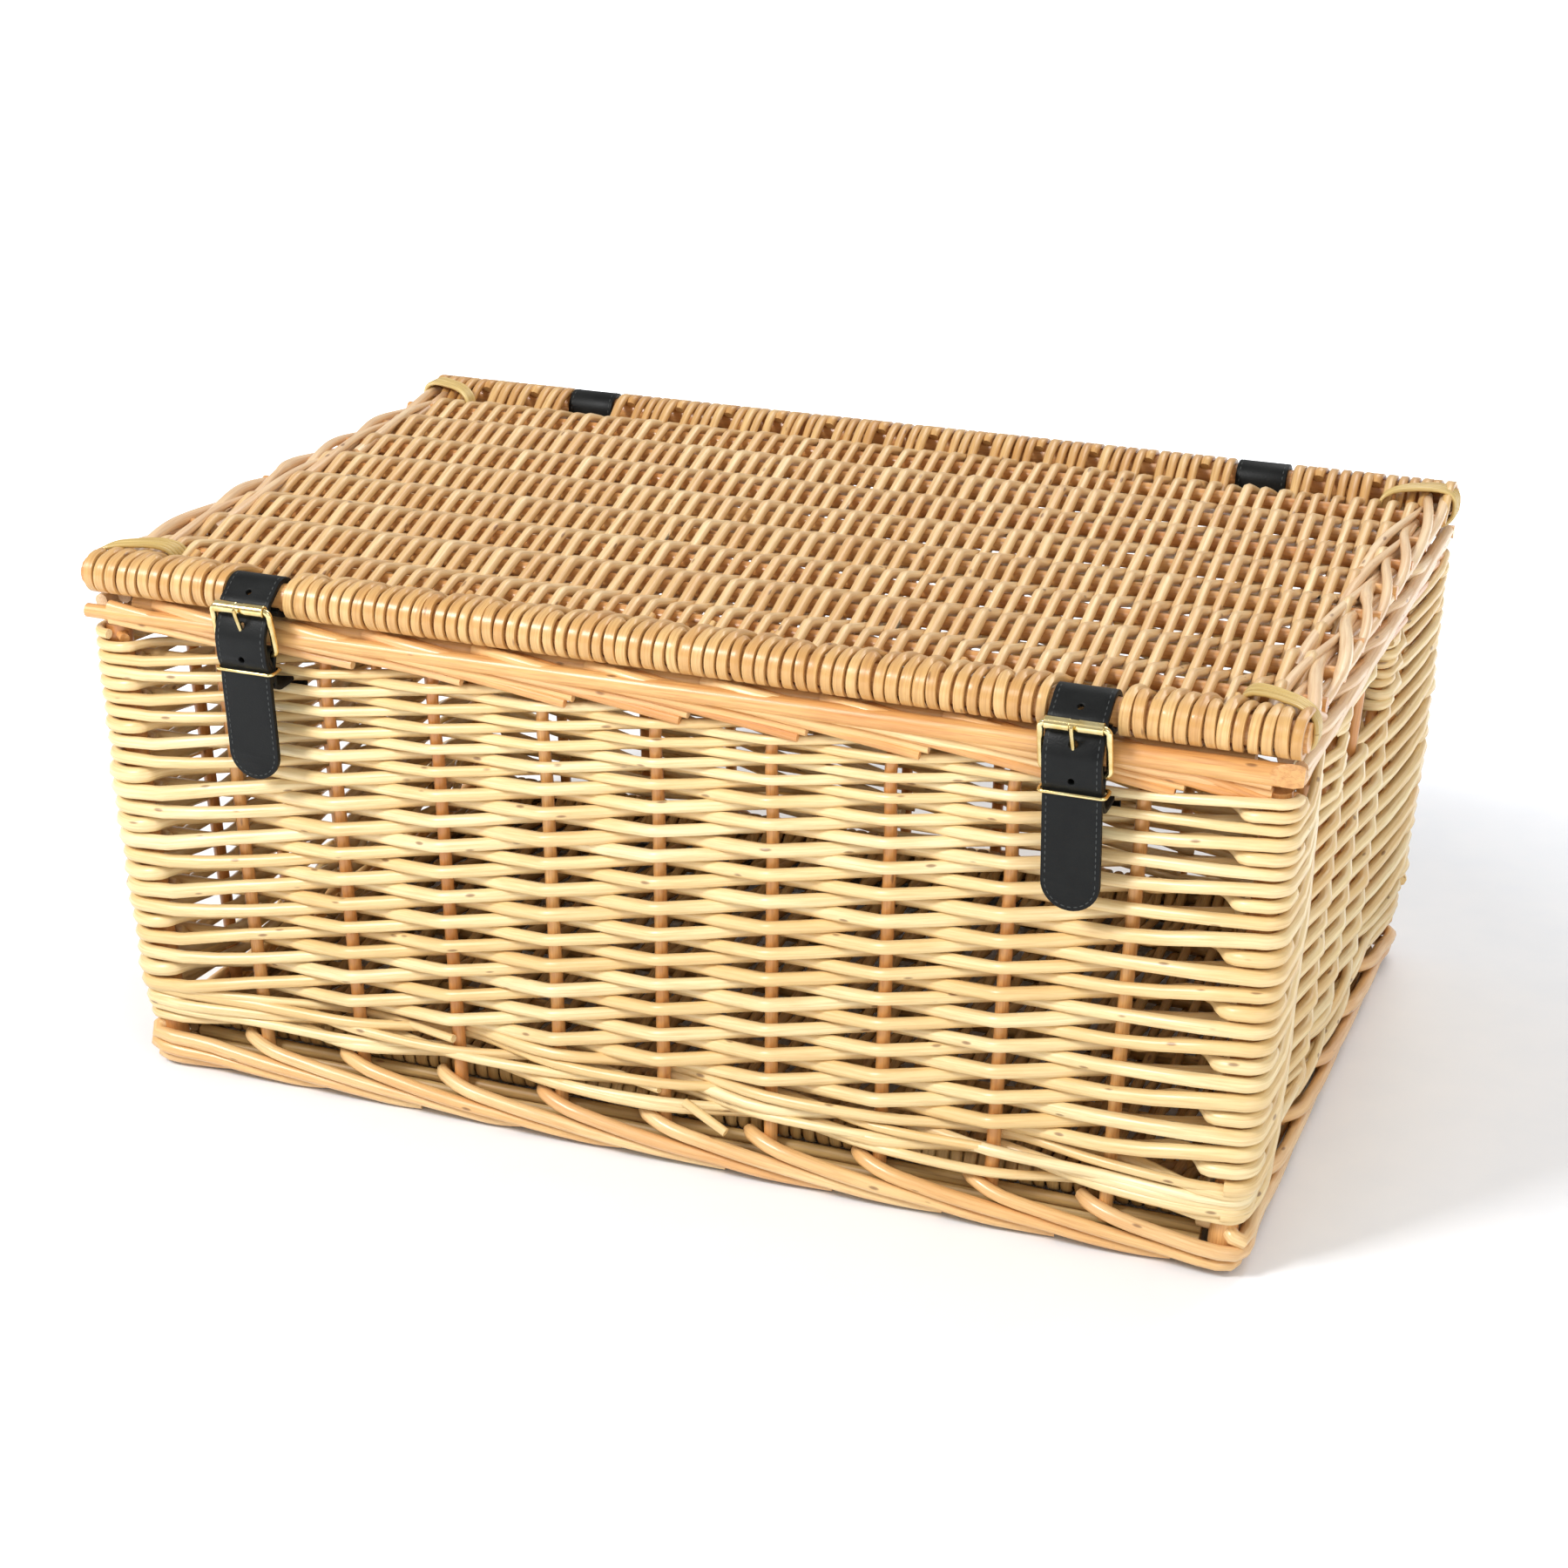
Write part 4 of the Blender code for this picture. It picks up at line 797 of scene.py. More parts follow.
def panel_weavers(count, pitch, z0, rear_y, front_y, edge_r, inner, radius, gaps):
    """Rods that run front to back, over and under the sticks by turns."""
    rods = []
    for n in range(count):
        x = (n - (count - 1) / 2) * pitch + wander(-0.35, 0.35) * MM
        thick = radius * wander(0.84, 1.14)
        lean = wander(-1.0, 1.0) * MM
        stops = [(y, INNER_STICK_R) for y in inner]
        last = len(stops) - 1
        path = []
        for j, (y, stick_r) in enumerate(stops):
            side = 1 if (j + n) % 2 == 0 else -1
            taper = 1.08 - 0.16 * j / last if n % 2 else 0.92 + 0.16 * j / last
            r = thick * taper
            sx = x + lean * (j / last - 0.5) + wander(-0.45, 0.45) * MM
            lift = side * (stick_r + r * 0.96)
            if j == 0 and (side > 0 or not gaps):
                stop = front_y + (edge_r + (5.5 if gaps and edge_gap(x, True) else 1.5) * MM)
                path.append((Vector((sx, stop, z0 - side * (edge_r * 0.62))), r))
            path.append((Vector((sx, y - 6.0 * MM, z0 + lift * 0.72)), r))
            path.append((Vector((sx, y, z0 + lift)), r))
            path.append((Vector((sx, y + 6.0 * MM, z0 + lift * 0.72)), r))
            if j == last and (side > 0 or not gaps):
                stop = rear_y - (edge_r + (5.5 if gaps and edge_gap(x, False) else 1.5) * MM)
                path.append((Vector((sx, stop, z0 - side * (edge_r * 0.62))), r))
        rods.append(smooth(path, 2))
    return rods


def edge_wraps(count, pitch, z0, edges, edge_r, radius, gaps):
    """Rod ends bent round an edge stick side by side, their tips tucked in on top or below."""
    rods = []
    for y, outward in edges:
        for n in range(count):
            x = (n - (count - 1) / 2) * pitch + wander(-0.25, 0.25) * MM
            if gaps and edge_gap(x, outward < 0):
                continue
            up = 1 if n % 5 else -1
            rw = radius * wander(0.86, 1.08)
            path = []
            for angle in (-140, -115, -90, -60, -30, 0, 30, 60, 90):
                a = math.radians(angle)
                shift = 1.2 * MM * (angle + 140) / 230
                beside = outward * math.cos(a) * (edge_r + rw)
                above = up * math.sin(a) * (edge_r + rw)
                path.append((Vector((x + shift, y + beside, z0 + above)), rw))
            reach = wander(23.0, 32.0) * MM
            tail = ((0.12, 1.0, 0.96), (0.4, 0.72, 0.92), (0.72, 0.12, 0.86), (1.0, -0.3, 0.75))
            for share, height, r in tail:
                spot = Vector((
                    x + (1.2 + 1.8 * share) * MM, y - outward * (edge_r * 0.4 + reach * share),
                    z0 + up * height * (edge_r + 0.7 * rw),
                ))
                path.append((spot, rw * r))
            rods.append(smooth(path, 2))
    return rods


def flatten_wraps(z0, edges, edge_r, keep, limit):
    """Presses the rods flat where they bend round the edge sticks."""

    def change(bm):
        for vert in bm.verts:
            for y, outward in edges:
                dy, dz = (vert.co.y - y) * outward, vert.co.z - z0
                away = math.hypot(dy, dz)
                if dy < -edge_r or away <= edge_r:
                    continue
                share = min(max((dy + edge_r) / (edge_r * 1.2), 0), 1)
                share = share * share * (3 - 2 * share)
                pressed = edge_r + min((away - edge_r) * keep, limit)
                wanted = away + (pressed - away) * share
                vert.co.y = y + outward * dy * wanted / away
                vert.co.z = z0 + dz * wanted / away

    return change


def stick_path(start, end, radius, waviness=0.35):
    path = []
    for n in range(11):
        place = start.lerp(end, n / 10)
        place += Vector((0, wander(-1, 1), wander(-1, 1))) * waviness * MM
        path.append((place, radius * wander(0.98, 1.02)))
    return smooth(path, 2)


def build_panel(name, body, weavers, wraps, materials, inner_count, gaps):
    """A woven panel: its rods, the wraps round its edge sticks, and its sticks.

    Weavers are given as (count, pitch, radius), and wraps with how far they are pressed flat after that.
    """
    front, rear = f"{name}_front_stick", f"{name}_rear_stick"
    z0 = middle(front).z
    edge_r = size_of(front).z / 2
    inner_names = [f"{name}_inner_stick_{n + 1}" for n in range(inner_count)]
    inner = sorted(middle(node).y for node in inner_names)
    front_y, rear_y = middle(front).y, middle(rear).y
    edges = ((front_y, -1), (rear_y, 1))
    count, pitch, radius = weavers
    rods = panel_weavers(count, pitch, z0, rear_y, front_y, edge_r, inner, radius, gaps)
    rods_piece(f"{name}_woven_rows", rods, body, materials[0], (f"{name}_weave",))
    count, pitch, radius, keep, limit = wraps
    rods = edge_wraps(count, pitch, z0, edges, edge_r, radius, gaps)
    rods_piece(
        f"{name}_edge_wraps", rods, body, materials[1], (), 3,
        flatten_wraps(z0, edges, edge_r, keep, limit),
    )
    for node in (front, rear):
        low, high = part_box(node)
        start, end = Vector((low.x, middle(node).y, z0)), Vector((high.x, middle(node).y, z0))
        rod = stick_path(start, end, edge_r, 0.15)
        rods_piece(f"{node}_rod", [rod], body, materials[2], (node,), 5)
    inner_rods = []
    for node in inner_names:
        low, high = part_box(node)
        start, end = Vector((low.x, middle(node).y, z0)), Vector((high.x, middle(node).y, z0))
        inner_rods.append(stick_path(start, end, INNER_STICK_R))
    rods_piece(f"{name}_inner_rods", inner_rods, body, materials[2], inner_names, 3)


def build_end_plaits():
    """Long tapering rods plaited along each end of the lid."""
    for place, side in (("left", -1), ("right", 1)):
        node = f"lid_end_plait_{place}"
        low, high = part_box(node)
        cx = (low.x + high.x) / 2
        rods = []
        strands, turns = 4, 1.7
        for strand in range(strands):
            path = []
            for n in range(41):
                t = n / 40
                angle = 2 * math.pi * (turns * t + strand / strands) + 0.35 * math.sin(9 * t + strand)
                y = low.y + 1 * MM + (high.y - low.y - 2 * MM) * t
                x = cx - side * 1.4 * MM + 5.4 * MM * math.cos(angle)
                z = LID_Z + 0.8 * MM + 4.0 * MM * math.sin(angle)
                swell = 1.0 - 0.3 * ((t + strand * 0.27) % 1.0)
                path.append((Vector((x, y, z)), 3.1 * MM * swell))
            rods.append(smooth(path, 2))
        inward_tips = ((0.03, 0.42, 13.0), (0.2, 0.66, 15.0), (0.45, 0.86, 12.5), (0.62, 0.99, 14.0))
        for begin, end, inset in inward_tips:
            path = []
            for k in range(11):
                t = k / 10
                y = low.y + (high.y - low.y) * (begin + (end - begin) * t)
                x = cx - side * (inset - 9.0 * t + 1.2 * math.sin(7 * t)) * MM
                z = LID_Z + (1.0 + 4.6 * math.sin(math.pi * min(t * 1.1, 1))) * MM
                path.append((Vector((x, y, z)), (2.9 - 1.8 * t) * MM))
            rods.append(smooth(path, 3))
        rods_piece(f"{node}_rods", rods, "lid", END_ROD, (node,), 3)


def build_corner_ties():
    """Strands of split skein bound slantwise over each corner of the lid."""
    for end, outward in (("front", -1), ("rear", 1)):
        for place, side in (("left", -1), ("right", 1)):
            node = f"lid_corner_tie_{end}_{place}"
            centre = middle(node)
            rods = []
            for strand in range(5):
                shift = (strand - 2) * 2.1 * MM
                slant = 0.5 + (strand - 2) * 0.03
                path = []
                for n in range(33):
                    angle = 2 * math.pi * n / 32
                    reach = 17.0 * MM * math.copysign(abs(math.cos(angle)) ** 0.7, math.cos(angle))
                    rise = 9.9 * MM * math.copysign(abs(math.sin(angle)) ** 0.7, math.sin(angle))
                    x = centre.x - side * 9.0 * MM + side * reach
                    y = centre.y + shift + outward * reach * slant
                    path.append((Vector((x, y, LID_Z + rise + wander(-0.1, 0.1) * MM)), 1.15 * MM))
                rods.append(smooth(path, 1))
            rods_piece(f"{end}_{place}_corner_skein", rods, "lid", SKEIN, (node,), 2)


# ---------------------------------------------------------------- leather
class Route:
    """A leather band's middle line, seen from its side, as (y, z) points."""

    def __init__(self, points, closed=False):
        self.points = [Vector(p) for p in points]
        if closed:
            self.points.append(self.points[0].copy())
        self.lengths = [0.0]
        for a, b in zip(self.points, self.points[1:]):
            self.lengths.append(self.lengths[-1] + (b - a).length)
        self.length = self.lengths[-1]
        self.closed = closed

    def direction(self, n):
        last = len(self.points) - 1
        if self.closed and n in (0, last):
            return (self.points[1] - self.points[last - 1]).normalized()
        return (self.points[min(n + 1, last)] - self.points[max(n - 1, 0)]).normalized()

    def at(self, distance):
        """The place and direction a distance along the route."""
        distance = min(max(distance, 0), self.length)
        for n in range(1, len(self.points)):
            if distance <= self.lengths[n] or n == len(self.points) - 1:
                step = self.lengths[n] - self.lengths[n - 1]
                t = (distance - self.lengths[n - 1]) / step
                place = self.points[n - 1].lerp(self.points[n], t)
                along = self.direction(n - 1).lerp(self.direction(n), t).normalized()
                return place, along

    def lay(self, bm, x0):
        """Bends a flat shape, drawn as (across, along, up), on to the route at x0."""
        for vert in bm.verts:
            across, distance, up = vert.co
            place, along = self.at(distance)
            normal = Vector((-along.y, along.x))
            beyond = distance - min(max(distance, 0), self.length)
            spot = place + normal * up + along * beyond
            vert.co = (x0 + across, spot.x, spot.y)


def flat_band(outlines, thickness, rounding, bends, length):
    """A flat leather shape with rounded edges, cut across often enough to bend."""
    curve = bpy.data.curves.new("band", "CURVE")
    curve.dimensions = "2D"
    curve.fill_mode = "BOTH"
    curve.extrude = thickness / 2 - rounding
    curve.bevel_depth = rounding
    curve.bevel_resolution = 2
    curve.offset = -rounding
    for outline in outlines:
        spline = curve.splines.new("POLY")
        spline.points.add(len(outline) - 1)
        for point, (u, v) in zip(spline.points, outline):
            point.co = (u, v, 0, 1)
        spline.use_cyclic_u = True
    mesh = mesh_of_curve(curve)
    bm = bmesh.new()
    bm.from_mesh(mesh)
    bpy.data.meshes.remove(mesh)
    bmesh.ops.remove_doubles(bm, verts=bm.verts, dist=0.00001)
    for n in range(1, bends):
        bmesh.ops.bisect_plane(
            bm, geom=[*bm.verts, *bm.edges, *bm.faces], dist=0.000001,
            plane_co=(0, length * n / bends, 0), plane_no=(0, 1, 0),
        )
    return bm


def arc(centre, radius, start, end, steps):
    angles = [math.radians(start + (end - start) * n / steps) for n in range(steps + 1)]
    return [Vector((centre[0] + radius * math.cos(a), centre[1] + radius * math.sin(a))) for a in angles]


def strip_outline(width, length, tip=False):
    half = width / 2
    outline = [(-half, 0), (half, 0)]
    if tip:
        outline += [tuple(p) for p in arc((0, length - half), half, 0, 180, 20)]
    else:
        outline += [(half, length), (-half, length)]
    return outline


def stitches(places, lift):
    """Thread stitches: short, fat, rounded bars that lie on the leather, each (across, along, turned)."""
    bm = bmesh.new()
    for across, distance, turn in places:
        grown = bmesh.ops.create_icosphere(bm, subdivisions=1, radius=1.0)
        size = Matrix.Diagonal((0.30 * MM, 1.05 * MM, 0.18 * MM, 1))
        matrix = Matrix.Translation((across, distance, lift)) @ Matrix.Rotation(turn, 4, "Z") @ size
        bmesh.ops.transform(bm, matrix=matrix, verts=grown["verts"])
    return bm


def smooth_route(points, steps):
    return [place for place, _ in smooth([(Vector(p), 0) for p in points], steps)]


STRAP_T = 2.5 * MM
CHAPE_T = 2.0 * MM
HINGE_T = 2.4 * MM
LOOP_CLEARANCE = 0.35 * MM
CLOSE = 0.3 * MM
FRAME_WIRE_R = 1.5 * MM
KEEPER_WIRE_R = 0.8 * MM
ROLLER_R = 2.75 * MM
PRONG_HOLE_Z = 238 * MM
HOLE_PITCH = 15.4 * MM
STITCH_PITCH = 2.75 * MM
STITCH_INSET = 1.9 * MM
SEAM_FROM = 26 * MM


def heel_of(side):
    """The axis of a buckle's heel bar, as (y, z)."""
    low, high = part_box(f"buckle_frame_{side}")
    return Vector((high.y - FRAME_WIRE_R, low.z + FRAME_WIRE_R))


STICK_YZ = Vector((LID_FRONT_Y, LID_Z))
ROLLER_YZ = Vector(middle("buckle_roller_left")[1:])
HEEL_YZ = heel_of("left")
KEEPER_YZ = Vector(middle("strap_keeper_left")[1:])
CHAPE_BACK_Y = HEEL_YZ.x + 1.7 * MM
CHAPE_FRONT_Y = CHAPE_BACK_Y - CHAPE_T - CLOSE


def strap_route():
    """Round the lid's front stick, down behind the roller, over the heel bar and to the tip."""
    loop = arc(STICK_YZ, STICK_R + LOOP_CLEARANCE + STRAP_T / 2, -150, 130, 28)
    behind_roller = ROLLER_YZ.x + ROLLER_R + CLOSE + STRAP_T / 2
    over_heel = HEEL_YZ.x - FRAME_WIRE_R - 2 * CLOSE - CHAPE_T - STRAP_T / 2
    keeper_y = CHAPE_FRONT_Y - CHAPE_T / 2 - CLOSE - STRAP_T / 2
    fall = [
        loop[-1],
        (behind_roller + 3.6 * MM, ROLLER_YZ.y + 3.6 * MM),
        (behind_roller + 0.4 * MM, ROLLER_YZ.y + 1.0 * MM),
        (behind_roller - 0.8 * MM, ROLLER_YZ.y - 3.0 * MM),
        (over_heel + 1.4 * MM, HEEL_YZ.y + 13.0 * MM),
        (over_heel - 0.4 * MM, HEEL_YZ.y + 8.0 * MM),
        (over_heel - 0.2 * MM, HEEL_YZ.y + 2.0 * MM),
        (over_heel + 0.4 * MM, HEEL_YZ.y - 3.0 * MM),
        (keeper_y, KEEPER_YZ.y + 1.0 * MM),
        (keeper_y + 0.2 * MM, KEEPER_YZ.y - 5.0 * MM),
        (keeper_y + 1.6 * MM, KEEPER_YZ.y - 26.5 * MM),
        (keeper_y + 3.0 * MM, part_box("front_strap_left")[0].z),
    ]
    return Route(loop[:-1] + smooth_route(fall, 6))


def distance_down_to(route, z):
    """How far along the strap's falling part a height is."""
    for n in range(len(route.points) - 1, 0, -1):
        if route.points[n - 1].y >= z:
            a, b = route.points[n - 1], route.points[n]
            return route.lengths[n - 1] + (a - b).length * (a.y - z) / (a.y - b.y)
    return 0


def build_strap(place, side):
    """A front strap with its three holes, and the seam along its edges and round its tip."""
    route = strap_route()
    node = f"front_strap_{place}"
    prong_at = distance_down_to(route, PRONG_HOLE_Z)
    outlines = [strip_outline(STRAP_W, route.length, True)]
    for hole, radius in ((-1, 1.35 * MM), (0, 1.75 * MM), (1, 1.35 * MM)):
        outlines.append([tuple(p) for p in arc((0, prong_at + hole * HOLE_PITCH), radius, 0, 345, 23)])
    bm = flat_band(outlines, STRAP_T, 0.42 * MM, 110, route.length)
    route.lay(bm, side * STRAP_X)
    body = f"strap_{place}"
    mesh_piece(node + "_leather", bm, body, (LEATHER,), (node,), 60)
    inset = STRAP_W / 2 - STITCH_INSET
    places = []
    straight = route.length - STRAP_W / 2
    under_keeper = distance_down_to(route, KEEPER_YZ.y + 1.0 * MM)
    for n in range(int((straight - SEAM_FROM) / STITCH_PITCH)):
        along = SEAM_FROM + n * STITCH_PITCH
        if abs(along - under_keeper) > 3.0 * MM:
            places += [(-inset, along, 0), (inset, along, 0)]
    round_tip = int(math.pi * inset / STITCH_PITCH)
    for n in range(round_tip + 1):
        angle = math.pi * n / round_tip
        places.append((inset * math.cos(angle), straight + inset * math.sin(angle), angle))
    bm = stitches(places, -STRAP_T / 2)
    route.lay(bm, side * STRAP_X)
    mesh_piece(node + "_stitches", bm, body, (THREAD,))


def build_hinge_loop(place, side):
    """A leather loop round the rear border, its outer rod and the lid's rear stick."""
    node = f"hinge_loop_{place}"
    edge = middle("rear_edge_rod")
    border_y = MID_Y + 167 * MM
    points = []
    for y, z, radius in (
        (border_y, BORDER_Z, BORDER_R), (edge.y, edge.z, EDGE_ROD_R), (LID_REAR_Y, LID_Z, STICK_R),
    ):
        points += arc((y, z), radius + LOOP_CLEARANCE + HINGE_T / 2, 0, 350, 35)
    outline = [points[n] for n in convex_hull_2d([tuple(p) for p in points])]
    start = min(range(len(outline)), key=lambda n: outline[n].y)
    outline = outline[start:] + outline[:start]
    route = Route(outline, closed=True)
    bm = flat_band([strip_outline(HINGE_W, route.length - 0.4 * MM)], HINGE_T, 0.4 * MM, 70, route.length)
    route.lay(bm, side * HINGE_X)
    mesh_piece(node + "_leather", bm, "basket", (LEATHER,), (node,), 60)
    inset = HINGE_W / 2 - STITCH_INSET
    places = []
    for n in range(int(route.length / STITCH_PITCH)):
        places += [(-inset, n * STITCH_PITCH, 0), (inset, n * STITCH_PITCH, 0)]
    bm = stitches(places, -HINGE_T / 2)
    route.lay(bm, side * HINGE_X)
    mesh_piece(node + "_stitches", bm, "basket", (THREAD,))


def build_chape(place, side):
    """The short leather that holds the buckle, from its front end round the heel bar into the wall."""
    node = f"buckle_chape_{place}"
    low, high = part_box(node)
    in_wall = HEEL_YZ.y - 17.7 * MM
    inner = high.y - CHAPE_T / 2
    points = [
        (CHAPE_FRONT_Y, HEEL_YZ.y - 13.5 * MM),
        (CHAPE_FRONT_Y, HEEL_YZ.y - 5.5 * MM),
        *arc(HEEL_YZ, 2.8 * MM, 180, 0, 10),
        (CHAPE_BACK_Y, HEEL_YZ.y - 5.5 * MM),
        (CHAPE_BACK_Y, in_wall + 4.5 * MM),
        (CHAPE_BACK_Y + 1.0 * MM, in_wall + 1.7 * MM),
        (CHAPE_BACK_Y + 3.0 * MM, in_wall + 0.4 * MM),
        (CHAPE_BACK_Y + 4.8 * MM, in_wall),
        (inner - 1.2 * MM, in_wall),
        (inner - 0.3 * MM, in_wall - 0.8 * MM),
        (inner, in_wall - 3.0 * MM),
        (inner, low.z),
    ]
    route = Route(smooth_route(points, 3))
    width = size_of(node).x
    half, slot_from, slot_to = 1.7 * MM, 10.5 * MM, 21.0 * MM
    slot = [(-half, slot_from), (half, slot_from), (half, slot_to), (-half, slot_to)]
    bm = flat_band([strip_outline(width, route.length), slot], CHAPE_T, 0.35 * MM, 70, route.length)
    route.lay(bm, side * STRAP_X)
    mesh_piece(node + "_leather", bm, "basket", (LEATHER,), (node,), 60)


# ---------------------------------------------------------------- brass
def closed_wire(name, points, radius, body, node, sides_level=4):
    curve = bpy.data.curves.new(name, "CURVE")
    curve.dimensions = "3D"
    curve.bevel_depth = radius
    curve.bevel_resolution = sides_level
    spline = curve.splines.new("POLY")
    spline.points.add(len(points) - 1)
    for point, place in zip(spline.points, points):
        point.co = (*place, 1)
    spline.use_cyclic_u = True
    bm = bmesh.new()
    bm.from_mesh(mesh_of_curve(curve))
    bmesh.ops.remove_doubles(bm, verts=bm.verts, dist=0.00001)
    mesh_piece(name, bm, body, (BRASS,), (node,))


def rounded_loop(half_u, half_v, radius, steps):
    points = []
    for n, (su, sv) in enumerate(((1, 1), (-1, 1), (-1, -1), (1, -1))):
        points += arc((su * (half_u - radius), sv * (half_v - radius)), radius, 90 * n, 90 * n + 90, steps)
    return points


def build_frame(place, x):
    """The buckle's rectangular wire frame, leaning from its heel bar to its roller bar."""
    node = f"buckle_frame_{place}"
    half_w = size_of(node).x / 2 - FRAME_WIRE_R
    up = (ROLLER_YZ - HEEL_YZ).normalized()
    height = (ROLLER_YZ - HEEL_YZ).length
    points = []
    for u, v in rounded_loop(half_w, height / 2, 2.6 * MM, 7):
        spot = HEEL_YZ + up * (v + height / 2)
        points.append(Vector((x + u, spot.x, spot.y)))
    closed_wire(f"{node}_wire", points, FRAME_WIRE_R, f"buckle_{place}", node)


def build_roller(place, x):
    """A turned tube with a groove for the prong's tip at its middle."""
    node = f"buckle_roller_{place}"
    half = size_of(node).x / 2
    profile = [
        (-half, 1.78), (-half, 2.45), (-half + 0.3 * MM, 2.72), (-1.9 * MM, 2.75), (-1.6 * MM, 2.55),
        (1.6 * MM, 2.55), (1.9 * MM, 2.75), (half - 0.3 * MM, 2.72), (half, 2.45), (half, 1.78),
    ]
    bm = bmesh.new()
    verts = [bm.verts.new((x + u, ROLLER_YZ.x, ROLLER_YZ.y + r * MM)) for u, r in profile]
    edges = [bm.edges.new(pair) for pair in zip(verts, verts[1:] + verts[:1])]
    bmesh.ops.spin(
        bm, geom=verts + edges, cent=(x, ROLLER_YZ.x, ROLLER_YZ.y), axis=(1, 0, 0),
        angle=math.tau, steps=40, use_merge=True,
    )
    bmesh.ops.remove_doubles(bm, verts=bm.verts, dist=0.00001)
    mesh_piece(f"{node}_tube", bm, f"roller_{place}", (BRASS,), (node,), 30)


def build_prong(place, x):
    """A tapered pin with an open eye round the heel bar."""
    node = f"buckle_prong_{place}"
    low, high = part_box(node)
    tip = Vector((low.y + 1.2 * MM, high.z - 0.6 * MM))
    lean = (tip - HEEL_YZ).normalized()
    behind = Vector((-lean.y, lean.x))
    length = (tip - HEEL_YZ).length
    path = []
    for p in arc((0, 0), 2.3 * MM, -300, -60, 14):
        spot = HEEL_YZ + lean * p.x - behind * p.y
        path.append((Vector((x, spot.x, spot.y)), 0.62 * MM))
    pin = ((0.2, 1.05, 0), (0.45, 1.15, 0), (0.7, 1.1, 0.1), (0.9, 0.95, 0.25), (1.0, 0.7, 0.2))
    for share, radius, bow in pin:
        spot = HEEL_YZ + lean * length * share + behind * bow * MM
        path.append((Vector((x, spot.x, spot.y)), radius * MM))
    bm = bmesh.new()
    bm.from_mesh(rods_mesh(f"{node}_pin", [smooth(path, 3)], 4))
    bmesh.ops.remove_doubles(bm, verts=bm.verts, dist=0.00001)
    mesh_piece(f"{node}_pin", bm, f"prong_{place}", (BRASS,), (node,))


def build_keeper(place):
    """The wire ring that holds the strap's tail."""
    node = f"strap_keeper_{place}"
    size = size_of(node)
    loop = rounded_loop(size.x / 2 - KEEPER_WIRE_R, size.y / 2 - KEEPER_WIRE_R, 2.0 * MM, 6)
    points = [middle(node) + Vector((u, v, 0)) for u, v in loop]
    closed_wire(node + "_wire", points, KEEPER_WIRE_R, f"keeper_{place}", node)


# ---------------------------------------------------------------- setting
def build_floor():
    bm = bmesh.new()
    bmesh.ops.create_grid(bm, x_segments=2, y_segments=2, size=6.0)
    mesh = bpy.data.meshes.new("studio_floor")
    bm.to_mesh(mesh)
    bm.free()
    floor = bpy.data.objects.new("studio_floor", mesh)
    floor.location.z = -0.0004
    mesh.materials.append(floor_paper("glowing_studio_paper"))
    bpy.context.scene.collection.objects.link(floor)


def build_air():
    """White air, brighter to the camera than the light that it gives."""
    world = bpy.data.worlds.new("studio")
    bpy.context.scene.world = world
    world.use_nodes = True
    air = world.node_tree.nodes["Background"]
    air.inputs["Color"].default_value = (1.0, 1.0, 1.0, 1.0)
    seen = world.node_tree.nodes.new("ShaderNodeLightPath")
    strength = world.node_tree.nodes.new("ShaderNodeMath")
    strength.operation = "MULTIPLY_ADD"
    strength.inputs[1].default_value = 0.48
    strength.inputs[2].default_value = 0.52
    world.node_tree.links.new(seen.outputs["Is Camera Ray"], strength.inputs[0])
    world.node_tree.links.new(strength.outputs[0], air.inputs["Strength"])


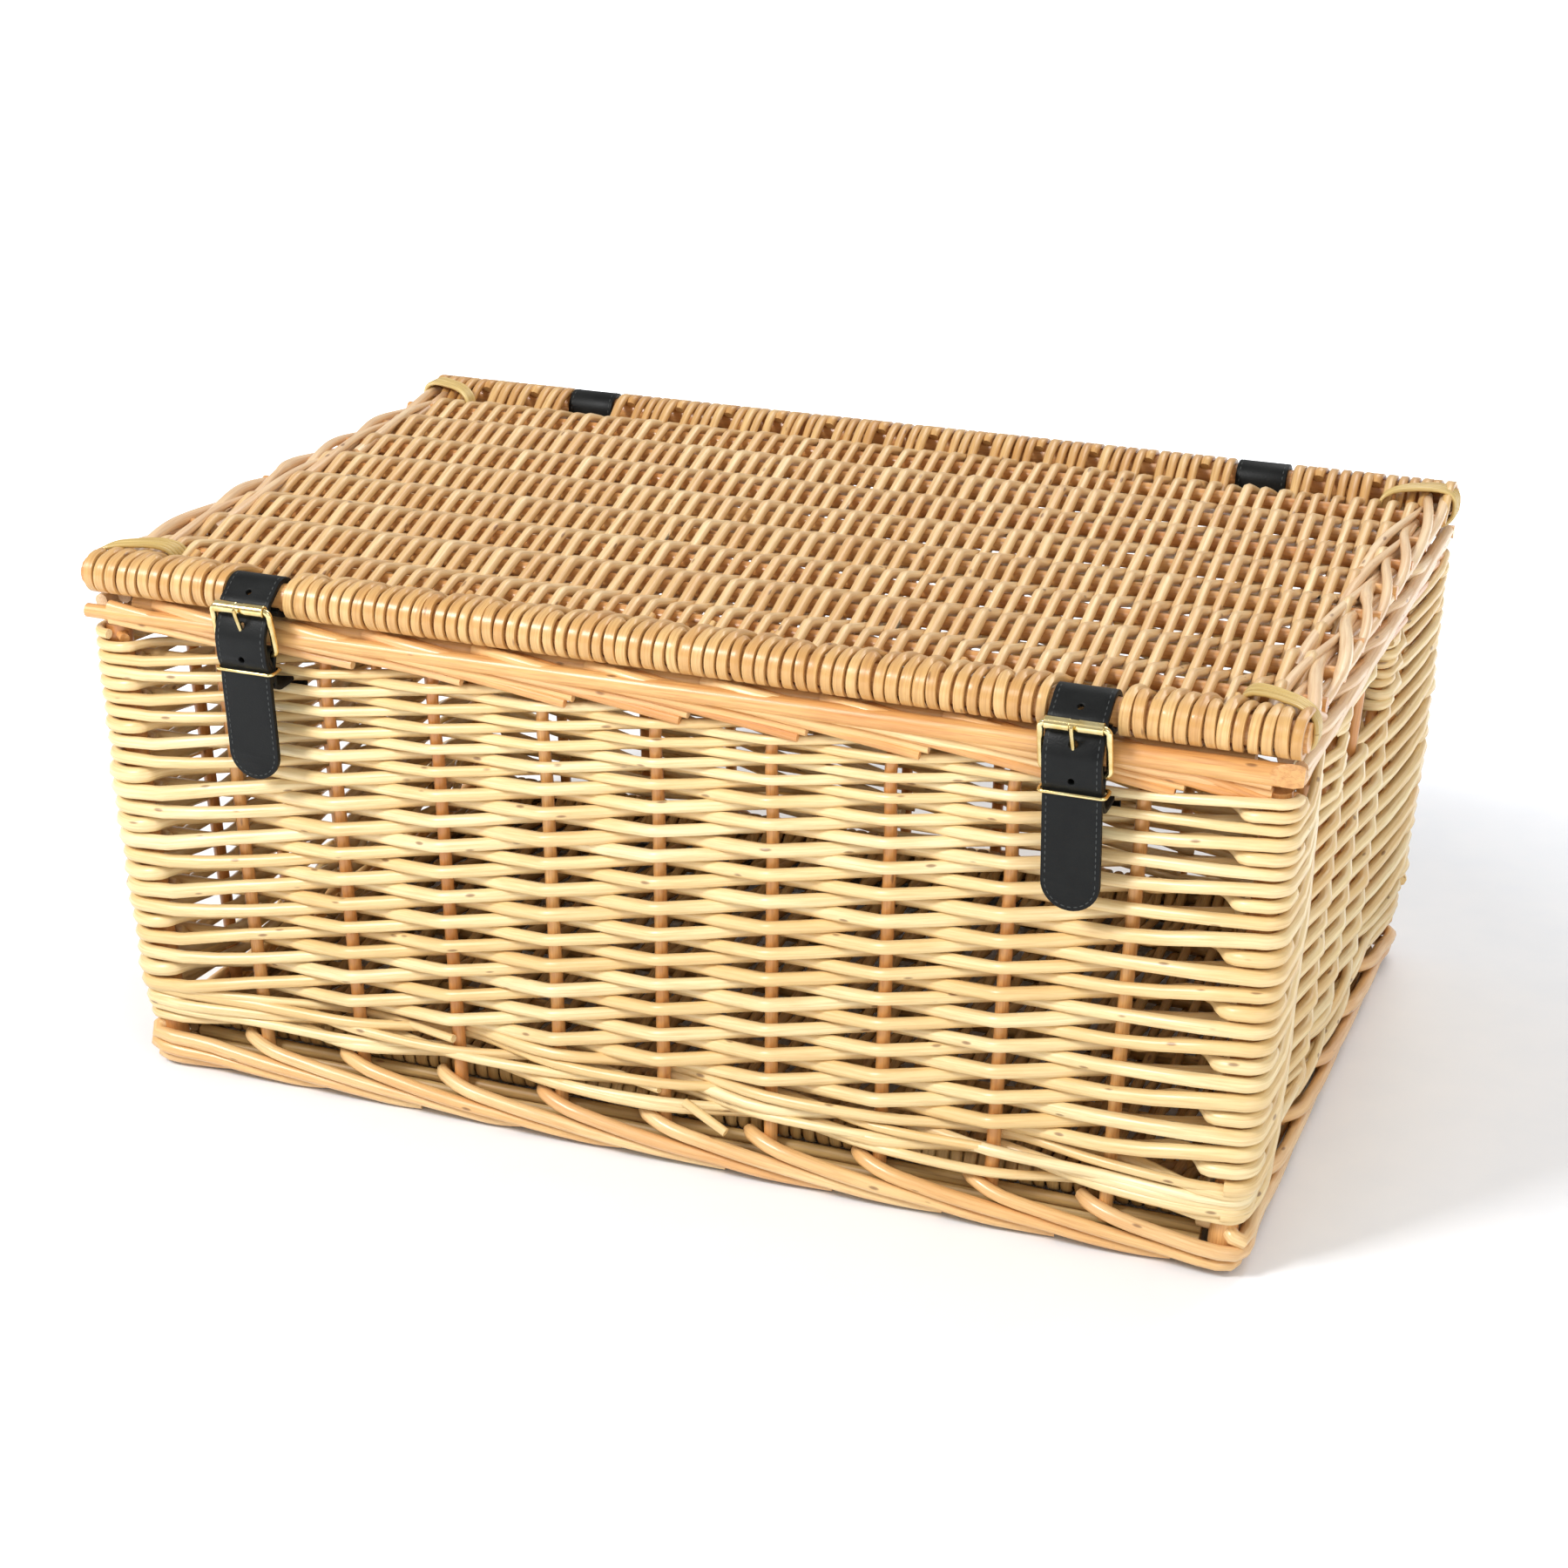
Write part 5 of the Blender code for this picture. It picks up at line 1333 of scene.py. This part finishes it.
def build_lamps():
    aim = Vector((0, 0, 0.12))
    for name, place, size, power in (
        ("key_light", (-1.2, -1.7, 2.0), 0.7, 55),
        ("fill_light", (1.9, -1.7, 1.4), 1.5, 17),
        ("rear_light", (0.5, 1.6, 2.2), 1.4, 24),
    ):
        light = bpy.data.lights.new(name, "AREA")
        light.energy = power
        light.size = size
        lamp = bpy.data.objects.new(name, light)
        lamp.location = place
        lamp.rotation_euler = (aim - Vector(place)).to_track_quat("-Z", "Y").to_euler()
        bpy.context.scene.collection.objects.link(lamp)


def build_camera():
    target = Vector((-0.0072, 0.0062, 0.1186))
    azimuth, elevation, roll, distance = 21.513, 22.55, 0.078, 1.422
    back = Vector((
        math.sin(math.radians(azimuth)) * math.cos(math.radians(elevation)),
        -math.cos(math.radians(azimuth)) * math.cos(math.radians(elevation)),
        math.sin(math.radians(elevation)),
    ))
    camera = bpy.data.cameras.new("camera")
    camera.sensor_width = 36.0
    camera.lens = 66.62
    view = bpy.data.objects.new("camera", camera)
    turn = (-back).to_track_quat("-Z", "Y") @ Matrix.Rotation(math.radians(roll), 3, "Z").to_quaternion()
    view.matrix_world = Matrix.Translation(target + back * distance) @ turn.to_matrix().to_4x4()
    bpy.context.scene.collection.objects.link(view)
    bpy.context.scene.camera = view
    bpy.context.scene.view_settings.view_transform = "Standard"


def build_trunk():
    build_posts()
    build_stakes()
    build_border_rods()
    build_rows()
    build_wale()
    build_foot()
    build_panel(
        "base", "basket", (78, 6.3 * MM, 2.5 * MM), (78, 6.3 * MM, 2.8 * MM, 0.6, 3.0 * MM),
        (BASE_ROD, BASE_ROD, BASE_ROD), 4, False,
    )
    build_panel(
        "lid", "lid", (120, 4.43 * MM, 2.42 * MM), (97, 5.74 * MM, 2.6 * MM, 0.78, 3.0 * MM),
        (LID_ROD, WRAP_ROD, STAKE_ROD), 8, True,
    )
    build_end_plaits()
    build_corner_ties()
    for place, side in (("left", -1), ("right", 1)):
        build_strap(place, side)
        build_hinge_loop(place, side)
        build_chape(place, side)
        build_frame(place, side * STRAP_X)
        build_roller(place, side * STRAP_X)
        build_prong(place, side * STRAP_X)
        build_keeper(place)


build_floor()
build_air()
build_lamps()
build_camera()
build_trunk()
